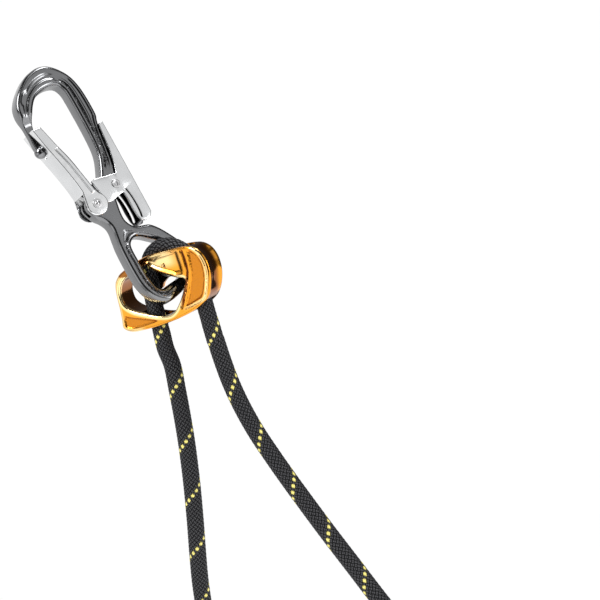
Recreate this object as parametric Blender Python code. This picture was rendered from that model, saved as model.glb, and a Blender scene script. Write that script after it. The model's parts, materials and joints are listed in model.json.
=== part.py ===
"""Rope pulley on a double-action hook: an adjustable lanyard head.

Frame: metres, +Z up.  The origin is the inner top of the hook's basket, where
the hook hangs on its anchor.  The hook lies in the XZ plane; the pulley body
hangs through the hook's lower eye, turned YAW about Z and rolled ROLL in its
own plane.  The body's own coordinates are a (along its width), b (depth, the
front face is at -b) and c (height), in millimetres.
"""
import math
import bpy
import bmesh
from mathutils import Matrix, Vector
from mathutils.geometry import delaunay_2d_cdt

MM = 0.001
GAP = 0.3                        # clearance between touching pieces
HOOK_HALF = 6.0                  # half thickness of the hook's forging
NOSE_HALF = 2.3                  # half thickness of the tongue in the keyhole
EDGE = 2.4                       # edge rounding of the forging
GATE_PIVOT = (-12.7, -79.0)      # X, Z
LEVER_PIVOT = (5.6, -72.5)
RIVET_R = 1.8
LEVER_RIVET_R = 1.5
GATE_IN, GATE_OUT = 7.8, 9.0     # gate cheeks, half widths
LEVER_IN, LEVER_OUT = 6.3, 7.5   # lever cheeks, half widths
YAW = math.radians(-60.0)        # direction of the pulley's width
ROLL = math.radians(11.0)
CENTRE = (10.73, -5.42, -137.0)  # centre of the rope's bend, mm
CHEEK_OUT = 8.4                  # half depth of the pulley body
CHEEK_IN = 5.75                  # half width of its rope channel
ROPE_D = 11.0
BEND_R = 16.3                    # rope centreline round the pulley
SHEAVE = (1.5, 4.6)              # sheave centre, a and c
SHEAVE_R = 5.8                   # sheave tread at mid width
AXLE_R = 2.5

for old in list(bpy.data.objects):
    bpy.data.objects.remove(old, do_unlink=True)


def finish_material(name, colour, metallic, roughness):
    m = bpy.data.materials.new(name)
    m.use_nodes = True
    p = m.node_tree.nodes["Principled BSDF"]
    p.inputs["Base Color"].default_value = (*colour, 1.0)
    p.inputs["Metallic"].default_value = metallic
    p.inputs["Roughness"].default_value = roughness
    return m


GREY = finish_material("anodised_grey", (0.26, 0.26, 0.27), 0.9, 0.32)
SILVER = finish_material("plated_steel", (0.72, 0.73, 0.75), 1.0, 0.25)
GOLD = finish_material("anodised_gold", (0.90, 0.48, 0.05), 0.9, 0.28)
STEEL = finish_material("stainless_steel", (0.62, 0.62, 0.63), 1.0, 0.3)
BRONZE = finish_material("bronze", (0.55, 0.36, 0.16), 0.9, 0.4)
ROPE = finish_material("black_rope", (0.02, 0.02, 0.022), 0.0, 0.85)
SLEEVE = finish_material("black_sleeve", (0.015, 0.015, 0.015), 0.0, 0.45)
THIMBLE = finish_material("grey_plastic", (0.12, 0.12, 0.12), 0.0, 0.5)

PULLEY = (Matrix.Translation(Vector(CENTRE) * MM)
          @ Matrix.Rotation(YAW, 4, "Z") @ Matrix.Rotation(ROLL, 4, "Y"))


def world(a, b, c):
    """Point of the pulley's own coordinates (mm) in the row frame (m)."""
    return PULLEY @ Vector((a * MM, b * MM, c * MM))


def add(name, bm, material, matrix=None, sharp=35.0):
    me = bpy.data.meshes.new(name)
    bmesh.ops.recalc_face_normals(bm, faces=bm.faces)
    bm.to_mesh(me)
    bm.free()
    me.shade_smooth()
    me.set_sharp_from_angle(angle=math.radians(sharp))
    me.materials.append(material)
    ob = bpy.data.objects.new(name, me)
    bpy.context.collection.objects.link(ob)
    if matrix is not None:
        ob.matrix_world = matrix
    return ob


def spline(points, closed=False, per=4):
    """Catmull-Rom curve through the points, per steps a span."""
    n = len(points)
    out = []
    for i in range(n if closed else n - 1):
        if closed:
            p = [points[(i + k - 1) % n] for k in range(4)]
        else:
            p = [points[min(max(i + k - 1, 0), n - 1)] for k in range(4)]
        for s in range(per):
            t = s / per
            out.append(tuple(0.5 * (2 * p[1][k] + (p[2][k] - p[0][k]) * t
                                    + (2 * p[0][k] - 5 * p[1][k] + 4 * p[2][k] - p[3][k]) * t * t
                                    + (3 * p[1][k] - p[0][k] - 3 * p[2][k] + p[3][k]) * t ** 3)
                             for k in range(len(p[1]))))
    if not closed:
        out.append(tuple(points[-1]))
    return out


def area(loop):
    return 0.5 * sum(loop[i - 1][0] * loop[i][1] - loop[i][0] * loop[i - 1][1]
                     for i in range(len(loop)))


def resample(loop, step):
    """Even points round a closed loop."""
    n = len(loop)
    lens = [math.dist(loop[i], loop[(i + 1) % n]) for i in range(n)]
    total = sum(lens)
    count = max(6, int(round(total / step)))
    out, i, walked = [], 0, 0.0
    for k in range(count):
        want = total * k / count
        while walked + lens[i] < want and i < n - 1:
            walked += lens[i]
            i += 1
        t = (want - walked) / max(lens[i], 1e-9)
        a, b = loop[i], loop[(i + 1) % n]
        out.append((a[0] + (b[0] - a[0]) * t, a[1] + (b[1] - a[1]) * t))
    return out


def inset(loop, d):
    """Loop moved inwards by up to d, less where the outline curves tightly.
    A hole is given clockwise and grows."""
    n = len(loop)
    normals, allow = [], []
    for i in range(n):
        a, p, b = loop[i - 1], loop[i], loop[(i + 1) % n]
        tx, ty = b[0] - a[0], b[1] - a[1]
        m = math.hypot(tx, ty) or 1e-9
        normals.append((-ty / m, tx / m))
        cross = (p[0] - a[0]) * (b[1] - p[1]) - (p[1] - a[1]) * (b[0] - p[0])
        l1, l2 = math.dist(a, p), math.dist(p, b)
        k = 2 * cross / max(l1 * l2 * m, 1e-9)
        most = d(*p) if callable(d) else d
        allow.append(min(most, 0.75 / k) if k > 1e-6 else most)
    for _ in range(3):
        allow = [min(allow[i], 0.5 * (allow[i - 1] + allow[(i + 1) % n]) + 0.15)
                 for i in range(n)]
    return [(loop[i][0] + normals[i][0] * allow[i],
             loop[i][1] + normals[i][1] * allow[i]) for i in range(n)]


def inside(point, loop):
    x, y = point
    hit = False
    for i in range(len(loop)):
        (x0, y0), (x1, y1) = loop[i - 1], loop[i]
        if (y0 > y) != (y1 > y) and x < x0 + (y - y0) * (x1 - x0) / (y1 - y0):
            hit = not hit
    return hit


def slab(name, loops, half, edge, material, matrix=None, steps=2, plane="XZ"):
    """Solid between -half and +half across the outline's plane, with rounded
    edges.  loops[0] is the outline, the others are holes.  half is a number or
    a function of the two coordinates."""
    bm = bmesh.new()
    caps = {-1: [], 1: []}
    height = half if callable(half) else (lambda x, z: half)
    rounding = edge if callable(edge) else (lambda x, z: edge)
    for index, loop in enumerate(loops):
        if (area(loop) > 0) != (index == 0):
            loop = loop[::-1]
        n = len(loop)
        rings = []
        for s in range(steps + 1):
            q = 0.5 * math.pi * s / steps
            part = 1 - math.sin(q)
            rings.append((inset(loop, lambda x, z: rounding(x, z) * part) if s < steps else loop,
                          1 - math.cos(q)))
        column = []
        for pts, drop in rings:
            column.append([bm.verts.new((p[0] * MM, -(height(*loop[i]) - drop * rounding(*loop[i])) * MM, p[1] * MM))
                           for i, p in enumerate(pts)])
        for pts, drop in rings[::-1]:
            column.append([bm.verts.new((p[0] * MM, (height(*loop[i]) - drop * rounding(*loop[i])) * MM, p[1] * MM))
                           for i, p in enumerate(pts)])
        for lo, hi in zip(column, column[1:]):
            for i in range(n):
                j = (i + 1) % n
                bm.faces.new((lo[i], lo[j], hi[j], hi[i]))
        caps[-1].append(column[0])
        caps[1].append(column[-1])
    for side in (-1, 1):
        flat = [v for ring in caps[side] for v in ring]
        edges, base = [], 0
        for ring in caps[side]:
            edges += [(base + i, base + (i + 1) % len(ring)) for i in range(len(ring))]
            base += len(ring)
        loops2d = [[(v.co.x, v.co.z) for v in ring] for ring in caps[side]]
        coords = [Vector(q) for ring in loops2d for q in ring]
        _, _, tris, origin, _, _ = delaunay_2d_cdt(coords, edges, [], 1, 1e-9)
        for tri in tris:
            ids = [origin[i][0] for i in tri]
            mid = [sum(coords[i][k] for i in ids) / 3 for k in (0, 1)]
            if inside(mid, loops2d[0]) and not any(inside(mid, q) for q in loops2d[1:]):
                bm.faces.new([flat[i] for i in ids])
    return add(name, bm, material, matrix)


def turned(name, profile, material, matrix, sides=24, closed_ring=False):
    """Solid turned about local Y from (radius, y) points, in mm."""
    bm = bmesh.new()
    rings = []
    for rad, y in profile:
        if rad < 1e-6:
            rings.append([bm.verts.new((0, y * MM, 0))])
        else:
            rings.append([bm.verts.new((rad * MM * math.cos(2 * math.pi * k / sides), y * MM,
                                        rad * MM * math.sin(2 * math.pi * k / sides)))
                          for k in range(sides)])
    pairs = list(zip(rings, rings[1:]))
    if closed_ring:
        pairs.append((rings[-1], rings[0]))
    for lo, hi in pairs:
        for k in range(sides):
            j = (k + 1) % sides
            if len(lo) == 1:
                bm.faces.new((lo[0], hi[k], hi[j]))
            elif len(hi) == 1:
                bm.faces.new((lo[k], hi[0], lo[j]))
            else:
                bm.faces.new((lo[k], hi[k], hi[j], lo[j]))
    return add(name, bm, material, matrix)


def at(x, y, z):
    return Matrix.Translation((x * MM, y * MM, z * MM))


def tube(name, points, radius, material, sides=8, squash=None):
    """Tube with flat ends along world points (m)."""
    bm = bmesh.new()
    pts = [Vector(p) for p in points]
    rings = []
    ref = None
    for i, p in enumerate(pts):
        t = (pts[min(i + 1, len(pts) - 1)] - pts[max(i - 1, 0)]).normalized()
        if ref is None:
            ref = t.orthogonal().normalized()
        ref = (ref - t * ref.dot(t)).normalized()
        side = t.cross(ref)
        rings.append([bm.verts.new(p + radius * MM * (ref * math.cos(2 * math.pi * k / sides)
                                                      + side * math.sin(2 * math.pi * k / sides)))
                      for k in range(sides)])
    for lo, hi in zip(rings, rings[1:]):
        for k in range(sides):
            j = (k + 1) % sides
            bm.faces.new((lo[k], lo[j], hi[j], hi[k]))
    bm.faces.new(rings[0][::-1])
    bm.faces.new(rings[-1])
    return add(name, bm, material)


def cord(name, points, radius):
    """Rope stretch: a curve with a round bevel and filled ends."""
    cu = bpy.data.curves.new(name, "CURVE")
    cu.dimensions = "3D"
    cu.bevel_depth = radius * MM
    cu.bevel_resolution = 2
    cu.use_fill_caps = True
    cu.resolution_u = 1
    cu.render_resolution_u = 0
    sp = cu.splines.new("POLY")
    sp.points.add(len(points) - 1)
    for q, p in zip(sp.points, points):
        q.co = (*p, 1.0)
    cu.materials.append(ROPE)
    ob = bpy.data.objects.new(name, cu)
    bpy.context.collection.objects.link(ob)
    return ob


def cutter(ob):
    ob.hide_render = True
    ob.display_type = "WIRE"
    return ob


def cut(target, tool, operation="DIFFERENCE", solver="EXACT"):
    mod = target.modifiers.new(tool.name, "BOOLEAN")
    mod.object = cutter(tool)
    mod.operation = operation
    mod.solver = solver


def block(name, x, y, z, material=STEEL, matrix=None):
    bm = bmesh.new()
    v = [bm.verts.new((xx * MM, yy * MM, zz * MM)) for xx in x for yy in y for zz in z]
    for f in ((0, 1, 3, 2), (4, 6, 7, 5), (0, 4, 5, 1), (2, 3, 7, 6), (0, 2, 6, 4), (1, 5, 7, 3)):
        bm.faces.new([v[i] for i in f])
    return add(name, bm, material, matrix)


# ---------------------------------------------------------------- hook frame
px, pz = GATE_PIVOT
heel = [(px + 6.3 * math.cos(math.radians(t)), pz + 6.3 * math.sin(math.radians(t)))
        for t in (195, 165, 135, 105, 80)]
outline = [
    (-28.3, -33.0), (-28.4, -24.0), (-28.6, -16.0), (-28.5, -10.6), (-28.1, -6.3), (-26.6, -1.9),
    (-22.9, 3.1), (-17.7, 7.8), (-12.6, 11.3), (-7.4, 13.2), (-2.0, 14.1), (3.0, 13.2),
    (7.8, 10.4), (12.6, 5.3), (15.7, 0.0), (17.5, -6.3), (18.3, -12.5), (18.6, -20.0),
    (18.4, -27.5), (17.2, -31.0), (16.0, -36.0), (14.9, -43.0), (13.8, -51.0), (12.2, -60.0),
    (9.6, -68.0), (5.6, -75.0), (2.6, -80.0), (1.4, -85.0), (0.5, -90.0), (0.4, -95.0),
    (2.0, -98.8), (5.0, -101.6), (9.5, -103.0), (14.0, -104.4), (18.2, -108.4), (22.2, -114.0),
    (26.4, -121.0), (29.6, -128.0), (30.4, -134.8), (28.6, -141.2), (23.0, -146.6), (14.5, -150.2),
    (6.5, -152.4), (0.0, -153.0), (-5.6, -149.5), (-9.6, -143.5), (-12.0, -136.0), (-12.6, -128.0),
    (-12.6, -119.0), (-12.2, -110.0), (-11.2, -103.0), (-10.4, -98.0), (-10.8, -94.0),
    (-13.0, -90.0), (-16.0, -86.6)] + heel + [
    (-7.5, -70.6), (-3.6, -67.6), (0.0, -63.6), (3.0, -58.0), (5.3, -52.5), (6.6, -47.0),
    (7.2, -40.0), (7.5, -30.0), (7.5, -20.0), (7.4, -12.0), (6.9, -6.0), (4.6, -1.6),
    (0.0, 0.0), (-5.0, 0.0), (-10.5, -1.6), (-14.6, -4.4), (-18.9, -10.0), (-22.0, -16.0),
    (-23.4, -22.0), (-23.6, -33.0)]
eye = [(-4.8, -113.0), (-2.8, -109.0), (0.9, -107.6), (5.2, -109.0), (10.0, -112.4), (15.6, -117.4),
       (21.4, -126.5), (22.3, -132.8), (20.6, -138.6), (14.5, -142.2), (7.0, -143.2), (1.2, -144.2),
       (-2.6, -141.0), (-4.4, -134.0), (-4.9, -124.0)]


def tongue(x, z):
    """0 on the bow, 1 on the tongue that enters the gate's keyhole."""
    t = min(max((-z - 9.0) / 9.0, 0.0), 1.0) if x < -20.0 else 0.0
    return t * t * (3 - 2 * t)


def frame_half(x, z):
    return HOOK_HALF + (NOSE_HALF - HOOK_HALF) * tongue(x, z)


def frame_edge(x, z):
    return EDGE + (0.8 - EDGE) * tongue(x, z)


hook = slab("hook_frame", [resample(spline(outline, True, 5), 2.6),
                           resample(spline(eye, True, 5), 2.6)],
            frame_half, frame_edge, GREY)
bead = turned("bead", [(0, -4.0)] + [(4.0 * math.cos(math.radians(t)), 4.0 * math.sin(math.radians(t)))
                                     for t in (-60, -30, 0, 30, 60)] + [(0, 4.0)],
              GREY, at(-25.6, 0, -34.5), 16)
cut(hook, bead, "UNION")
for nm, (x, z), rad in (("gate_bore", GATE_PIVOT, RIVET_R + GAP), ("lever_bore", LEVER_PIVOT, LEVER_RIVET_R + GAP)):
    cut(hook, turned(nm, [(0, -10), (rad, -10), (rad, 10), (0, 10)], STEEL, at(x, 0, z), 16))
cut(hook, block("gate_spring_pocket", (-24.0, -8.0), (-2.0, 2.0), (-84.0, -66.0)))
cut(hook, block("lever_spring_pocket", (1.93, 20.0), (-2.05, 2.05), (-77.37, -68.21)), solver="MANIFOLD")

# ---------------------------------------------------------------------- gate
outer = [(-27.6, -21.2), (-26.6, -26.0), (-25.2, -33.0), (-23.2, -41.0), (-20.9, -51.0),
         (-18.9, -61.0), (-17.9, -69.0)]
lobe = [(px + 7.4 * math.cos(math.radians(t)), pz + 7.4 * math.sin(math.radians(t)))
        for t in (190, 215, 240, 265, 290, 315, 340, 5, 30, 52)]
inner = [(-9.4, -70.0), (-11.6, -59.0), (-14.0, -47.0), (-17.4, -36.0), (-20.4, -25.0), (-21.6, -21.2)]
gate_line = spline(outer, False, 2) + spline(lobe, False, 1) + spline(inner, False, 2)
gate = slab("gate", [gate_line], GATE_OUT, 0.5, SILVER, steps=1)
channel = [(x + 1.2, z) for x, z in outer]
channel = [(channel[0][0], -15.0)] + channel + [(-19.0, -71.0), (-30.0, -71.0), (-30.0, -95.0),
                                               (5.0, -95.0), (5.0, -15.0)]
cut(gate, slab("gate_channel", [channel], GATE_IN, 0.02, STEEL, steps=1))
for nm, x0, x1 in (("keyhole_slot", -40.0, -22.6),):
    cut(gate, block(nm, (x0, x1), (-2.9, 2.9), (-36.0, -10.0)))
cut(gate, turned("keyhole_round", [(0, -9), (5.0, -9), (5.0, 9), (0, 9)], STEEL,
                 at(-27.0, 0, -34.5) @ Matrix.Rotation(math.radians(90), 4, "Z"), 20))
cut(gate, turned("gate_pin_hole", [(0, -12), (RIVET_R + GAP, -12), (RIVET_R + GAP, 12), (0, 12)],
                 STEEL, at(px, 0, pz), 16))
turned("gate_rivet", [(0, -10.3), (2.6, -10.1), (3.1, -9.3), (RIVET_R, -9.3), (RIVET_R, 9.3),
                      (3.1, 9.3), (2.6, 10.1), (0, 10.3)], STEEL, at(px, 0, pz), 16)


def coil(name, centre, mean, wire, turns, width, legs, steps=12):
    """Torsion spring round a rivet: legs are two far points (X, Z)."""
    pts = []
    start = math.atan2(legs[0][1] - centre[1], legs[0][0] - centre[0]) - math.radians(80)
    n = int(turns * steps)
    for k in range(n + 1):
        t = start - 2 * math.pi * k / steps
        pts.append(Vector(((centre[0] + mean * math.cos(t)) * MM,
                           (-width / 2 + width * k / n) * MM,
                           (centre[1] + mean * math.sin(t)) * MM)))
    first = Vector((legs[0][0] * MM, -width / 2 * MM, legs[0][1] * MM))
    last = Vector((legs[1][0] * MM, width / 2 * MM, legs[1][1] * MM))
    return tube(name, [first] + pts + [last], wire, STEEL, 6)


coil("gate_spring", GATE_PIVOT, 2.95, 0.4, 2.0, 2.6, ((-17.2, -73.2), (-9.0, -81.5)), 10)

# --------------------------------------------------------------- lock lever
lx, lz = LEVER_PIVOT
lever_line = ([(18.6, -33.4), (18.6, -45.0), (18.5, -60.0), (18.4, -75.0), (18.3, -90.0), (18.2, -97.5)]
              + [(15.6, -101.0), (11.6, -101.0), (9.6, -99.0)]
              + [(9.0, -92.0), (9.4, -84.0), (9.9, -77.5), (6.0, -79.6), (-2.0, -81.6), (-5.6, -81.2),
                 (-6.0, -77.0), (-7.6, -70.0), (-8.6, -64.9), (-6.0, -64.2), (2.0, -65.6), (9.6, -66.4),
                 (11.6, -60.0), (13.6, -50.0), (14.8, -38.0), (15.4, -33.8)])
lever = slab("lock_lever", [resample(lever_line, 3.2)], LEVER_OUT, 0.4, SILVER, steps=1)
cut(lever, block("lever_channel", (-30.0, 17.4), (-LEVER_IN, LEVER_IN), (-120.0, -20.0)))
cut(lever, turned("lever_pin_hole", [(0, -12), (LEVER_RIVET_R + GAP, -12), (LEVER_RIVET_R + GAP, 12), (0, 12)],
                  STEEL, at(lx, 0, lz), 16))
cut(lever, turned("lever_tip_hole", [(0, -3), (1.7, -3), (1.7, 3), (0, 3)], STEEL,
                  at(18.0, 0, -38.0) @ Matrix.Rotation(math.radians(90), 4, "Z"), 12))
turned("lever_tip_rivet", [(0, -1.2), (1.4, -1.2), (1.4, 0.9), (2.4, 0.9), (2.1, 1.5), (0, 1.7)], STEEL,
       at(18.0, 0, -38.0) @ Matrix.Rotation(math.radians(-90), 4, "Z"), 12)
turned("lever_rivet", [(0, -8.8), (2.2, -8.6), (2.7, -7.8), (LEVER_RIVET_R, -7.8), (LEVER_RIVET_R, 7.8),
                       (2.7, 7.8), (2.2, 8.6), (0, 8.8)], STEEL, at(lx, 0, lz), 16)
coil("lever_spring", LEVER_PIVOT, 2.6, 0.35, 2.0, 2.4, ((13.8, -69.6), (3.4, -76.4)), 10)

# -------------------------------------------------------------- pulley body
body_line = [(-43.6, -25.0), (-42.6, -19.0), (-41.4, -12.0), (-40.6, -6.0), (-39.4, 0.0), (-37.4, 4.6),
             (-33.2, 8.2), (-28.0, 10.2), (-20.0, 12.4), (-12.0, 13.9), (-4.0, 14.4), (4.0, 14.2),
             (12.0, 13.6), (19.0, 12.8), (25.2, 11.0), (29.8, 6.8), (32.0, 0.6), (31.8, -6.4),
             (29.8, -12.8), (26.6, -18.4), (22.4, -22.6), (16.6, -25.4), (8.0, -27.6), (-3.0, -29.2),
             (-16.0, -30.0), (-28.0, -29.8), (-38.0, -28.8)]
front_hole = [(-36.4, -2.0), (-33.0, 2.8), (-28.4, 5.4), (-22.0, 7.2), (-15.4, 8.8), (-11.0, 8.8),
              (-9.4, 5.6), (-4.8, 1.8), (0.6, -1.3), (5.6, -3.7), (9.4, -5.0), (12.0, -6.2), (12.2, -8.0),
              (10.3, -10.6), (6.6, -15.6), (2.2, -20.2), (-2.6, -24.0), (-8.0, -25.2), (-16.0, -23.4),
              (-24.0, -20.0), (-31.6, -16.2), (-36.4, -11.6), (-37.4, -7.0)]
pulley = slab("pulley_frame", [resample(spline(body_line, True, 4), 3.0),
                               resample(spline(front_hole, True, 4), 2.6)],
              CHEEK_OUT, 1.5, GOLD, PULLEY)
# The rope channel is open at the top and the bottom; the end walls and the
# bridge between the two legs of the rope tie the cheeks together.
channel = [(-23.6, 40.0), (-23.6, 2.0), (-26.5, -14.0), (-30.6, -40.0), (-9.5, -40.0), (-9.5, -20.0),
           (8.8, -20.0), (8.8, -40.0), (21.6, -40.0), (22.6, -10.0), (22.6, 40.0)]
cut(pulley, slab("rope_channel", [channel], CHEEK_IN, 0.02, STEEL, PULLEY, steps=1))
# The rear cheek is closed higher up than the front one.
web = [(-25.0, -13.0), (-25.0, 8.6), (-18.0, 10.6), (-10.0, 11.4), (-4.0, 7.0), (4.0, 3.4), (16.0, 3.0),
       (16.4, -8.0), (-4.0, -13.0)]
cut(pulley, slab("rear_web", [resample(web, 4.0)], 1.2, 0.02, GOLD, PULLEY @ at(0, 7.08, 0), steps=1), "UNION")
# The rear opening is larger to the right, for the far side of the hook's eye.
rear = [(-31.0, -3.0), (-26.0, -6.5), (-20.0, -9.0), (-14.4, -8.6), (-11.8, -5.6), (-6.0, -2.6), (-1.0, -0.4), (8.0, 0.4),
        (15.0, -0.6), (17.5, -6.0), (15.0, -12.5), (8.0, -18.0), (-4.0, -20.5), (-20.0, -18.6), (-31.0, -13.0)]
cut(pulley, slab("rear_opening", [resample(spline(rear, True, 3), 3.4)], 3.0, 0.02, STEEL,
                 PULLEY @ at(0, CHEEK_IN + 2.4, 0), steps=1))
sa, sc = SHEAVE
cut(pulley, turned("axle_bore", [(0, -7.4), (AXLE_R + 0.05, -7.4), (AXLE_R + 0.05, 7.0), (3.5, 7.0), (3.5, 12), (0, 12)],
                   STEEL, PULLEY @ at(sa, 0, sc), 20))
# A shallow pocket in the front cheek, between the groove and the end wall.
pocket = [(21.8, 8.6), (25.4, 6.6), (28.4, 0.6), (27.6, -6.8), (24.6, -14.2), (20.0, -20.0), (14.2, -21.8),
          (8.6, -22.6), (10.4, -18.4), (15.6, -10.2), (19.6, -1.5)]
cut(pulley, slab("front_pocket", [resample(spline(pocket, True, 3), 3.6)], 1.0, 0.02, STEEL,
                 PULLEY @ at(0, -CHEEK_OUT + 0.2, 0), steps=1))

# ------------------------------------------------------ sheave and its axle
W = CHEEK_IN - 0.9
turned("sheave_axle", [(0, -7.1), (AXLE_R - 0.25, -7.1), (AXLE_R - 0.25, 7.3), (3.2, 7.3), (3.2, 8.2), (0, 8.2)],
       STEEL, PULLEY @ at(sa, 0, sc), 20)
turned("sheave_bushing", [(AXLE_R + 0.05, -W), (3.3, -W), (3.3, W), (AXLE_R + 0.05, W)], BRONZE,
       PULLEY @ at(sa, 0, sc), 20, True)
tread = [(SHEAVE_R + 1.5, -W), (SHEAVE_R + 0.7, -3.2), (SHEAVE_R + 0.15, -1.5), (SHEAVE_R, 0),
         (SHEAVE_R + 0.15, 1.5), (SHEAVE_R + 0.7, 3.2), (SHEAVE_R + 1.5, W)]
turned("sheave", [(3.6, W), (3.6, -W)] + tread, STEEL, PULLEY @ at(sa, 0, sc), 28, True)
for nm, y in (("washer_front", -1), ("washer_rear", 1)):
    y0 = y * (W + 0.15)
    y1 = y * (CHEEK_IN - 0.15)
    turned(nm, [(AXLE_R + 0.05, min(y0, y1)), (4.6, min(y0, y1)), (4.6, max(y0, y1)), (AXLE_R + 0.05, max(y0, y1))],
           BRONZE, PULLEY @ at(sa, 0, sc), 20, True)

# ---------------------------------------------------------------------- rope
bend = [(BEND_R * math.cos(math.radians(t)), BEND_R * math.sin(math.radians(t)))
        for t in range(176, 0, -22)]
path = ([(-22.7, -37.0), (-21.6, -28.0), (-20.4, -17.0), (-19.0, -9.0)] + bend
        + [(16.4, -8.0), (15.8, -20.0), (14.9, -31.0), (14.3, -40.0)])
wrap = [world(p[0], 0, p[1]) for p in spline(path, False, 2)]
cord("rope_wrap", wrap, ROPE_D / 2)


def width(u, z):
    """Point of the rope's vertical plane: u along the pulley's width."""
    return Vector(((CENTRE[0] + u * math.cos(YAW)) * MM, (CENTRE[1] + u * math.sin(YAW)) * MM, z * MM))


def leg(start, before, rest, name):
    """A hanging tail that carries on from the end of the wrap."""
    away = (start - before).normalized()
    pts = [start + away * GAP * MM, start + away * 9 * MM] + [width(*p) for p in rest]
    line = spline([tuple(p) for p in pts], False, 3)
    cord(name, line, ROPE_D / 2)
    return line


LEFT = [(-33.9, -189.0), (-39.7, -203.9), (-46.8, -221.5), (-55.1, -240.3), (-66.0, -262.5), (-77.6, -284.3),
        (-89.0, -304.8), (-99.2, -324.2), (-107.0, -343.0), (-112.0, -364.0), (-113.8, -386.0),
        (-113.0, -408.0), (-110.5, -430.0), (-107.5, -452.0), (-105.0, -474.0), (-103.5, -496.0)]
RIGHT = [(4.2, -188.4), (1.2, -201.7), (-1.4, -216.5), (-2.7, -232.6), (-2.6, -249.5), (-1.0, -266.3),
         (1.2, -284.0), (3.8, -301.5), (7.6, -325.3), (12.4, -352.0), (17.5, -380.2), (23.0, -405.0),
         (28.5, -430.0), (33.0, -455.0), (36.0, -480.0)]
left = leg(wrap[0], wrap[1], LEFT, "rope_tail_left")
right = leg(wrap[-1], wrap[-2], RIGHT, "rope_tail_right")


def end_matrix(line):
    """Local -Z carries on along the tail; local X lies in the rope's plane."""
    tip, prev = Vector(line[-1]), Vector(line[-2])
    z = (prev - tip).normalized()
    x = Vector((math.cos(YAW), math.sin(YAW), 0))
    x = (x - z * x.dot(z)).normalized()
    y = z.cross(x)
    m = Matrix((x, y, z)).transposed().to_4x4()
    m.translation = tip
    return m


UP = Matrix.Rotation(math.radians(90), 4, "X")     # turned axis +Y onto +Z
stop = end_matrix(left)
turned("left_end_sleeve", [(0, -0.3), (5.6, -0.3), (7.0, -4.0), (7.2, -10.0), (7.2, -40.0), (6.4, -44.0),
                           (4.0, -46.0), (0, -46.4)], SLEEVE, stop @ UP, 16)
eye_end = end_matrix(right)
turned("right_eye_sleeve", [(0, -0.3), (5.8, -0.3), (8.4, -6.0), (9.4, -16.0), (9.8, -46.0), (8.0, -49.0), (0, -49.6)],
       SLEEVE, eye_end @ UP, 16)


def oval(a, b0, c0, steps):
    return [(a * math.sin(2 * math.pi * k / steps), c0 + b0 * math.cos(2 * math.pi * k / steps))
            for k in range(steps)]


def ring_tube(name, path2d, radius, material, matrix, sides=8):
    bm = bmesh.new()
    n = len(path2d)
    rings = []
    for i in range(n):
        (x0, z0), (x, z), (x1, z1) = path2d[i - 1], path2d[i], path2d[(i + 1) % n]
        t = Vector((x1 - x0, 0, z1 - z0)).normalized()
        side = Vector((t.z, 0, -t.x))
        rings.append([bm.verts.new((Vector((x, 0, z)) + radius * (side * math.cos(2 * math.pi * k / sides)
                                                                   + Vector((0, 1, 0)) * math.sin(2 * math.pi * k / sides))) * MM)
                      for k in range(sides)])
    for i in range(n):
        lo, hi = rings[i], rings[(i + 1) % n]
        for k in range(sides):
            j = (k + 1) % sides
            bm.faces.new((lo[k], lo[j], hi[j], hi[k]))
    return add(name, bm, material, matrix)


EYE_TOP = -49.9
ring_tube("right_eye", oval(16.5, 25.0, EYE_TOP - 5.5 - 25.0, 28), ROPE_D / 2, ROPE, eye_end)
# Thimble: a grooved lining inside the eye.
inner_oval = oval(16.5 - 7.3, 25.0 - 7.3, EYE_TOP - 30.5, 28)
ring_tube("right_thimble", inner_oval, 1.45, STEEL, eye_end, 8)
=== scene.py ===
import json
import math
import bpy
import bmesh
from mathutils import Matrix, Vector
from mathutils.geometry import delaunay_2d_cdt

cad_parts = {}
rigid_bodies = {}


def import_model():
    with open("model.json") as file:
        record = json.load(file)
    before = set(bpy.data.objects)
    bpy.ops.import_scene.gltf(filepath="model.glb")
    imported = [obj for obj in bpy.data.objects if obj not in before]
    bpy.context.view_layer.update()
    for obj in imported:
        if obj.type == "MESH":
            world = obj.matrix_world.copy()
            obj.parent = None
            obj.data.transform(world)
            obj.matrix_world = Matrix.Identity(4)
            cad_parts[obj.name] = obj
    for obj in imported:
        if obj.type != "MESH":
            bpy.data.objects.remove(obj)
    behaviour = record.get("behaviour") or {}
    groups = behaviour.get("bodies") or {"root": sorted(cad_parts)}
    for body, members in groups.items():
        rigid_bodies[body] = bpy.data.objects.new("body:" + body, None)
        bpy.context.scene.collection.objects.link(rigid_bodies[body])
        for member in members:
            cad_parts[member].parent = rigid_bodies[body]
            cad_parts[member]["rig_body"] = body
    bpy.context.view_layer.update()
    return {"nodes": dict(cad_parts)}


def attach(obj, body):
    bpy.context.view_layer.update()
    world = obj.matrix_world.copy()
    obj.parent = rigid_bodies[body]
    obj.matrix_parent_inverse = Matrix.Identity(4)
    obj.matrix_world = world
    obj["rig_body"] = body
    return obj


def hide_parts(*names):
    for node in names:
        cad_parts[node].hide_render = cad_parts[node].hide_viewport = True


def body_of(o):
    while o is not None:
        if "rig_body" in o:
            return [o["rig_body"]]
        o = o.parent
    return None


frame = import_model()

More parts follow.
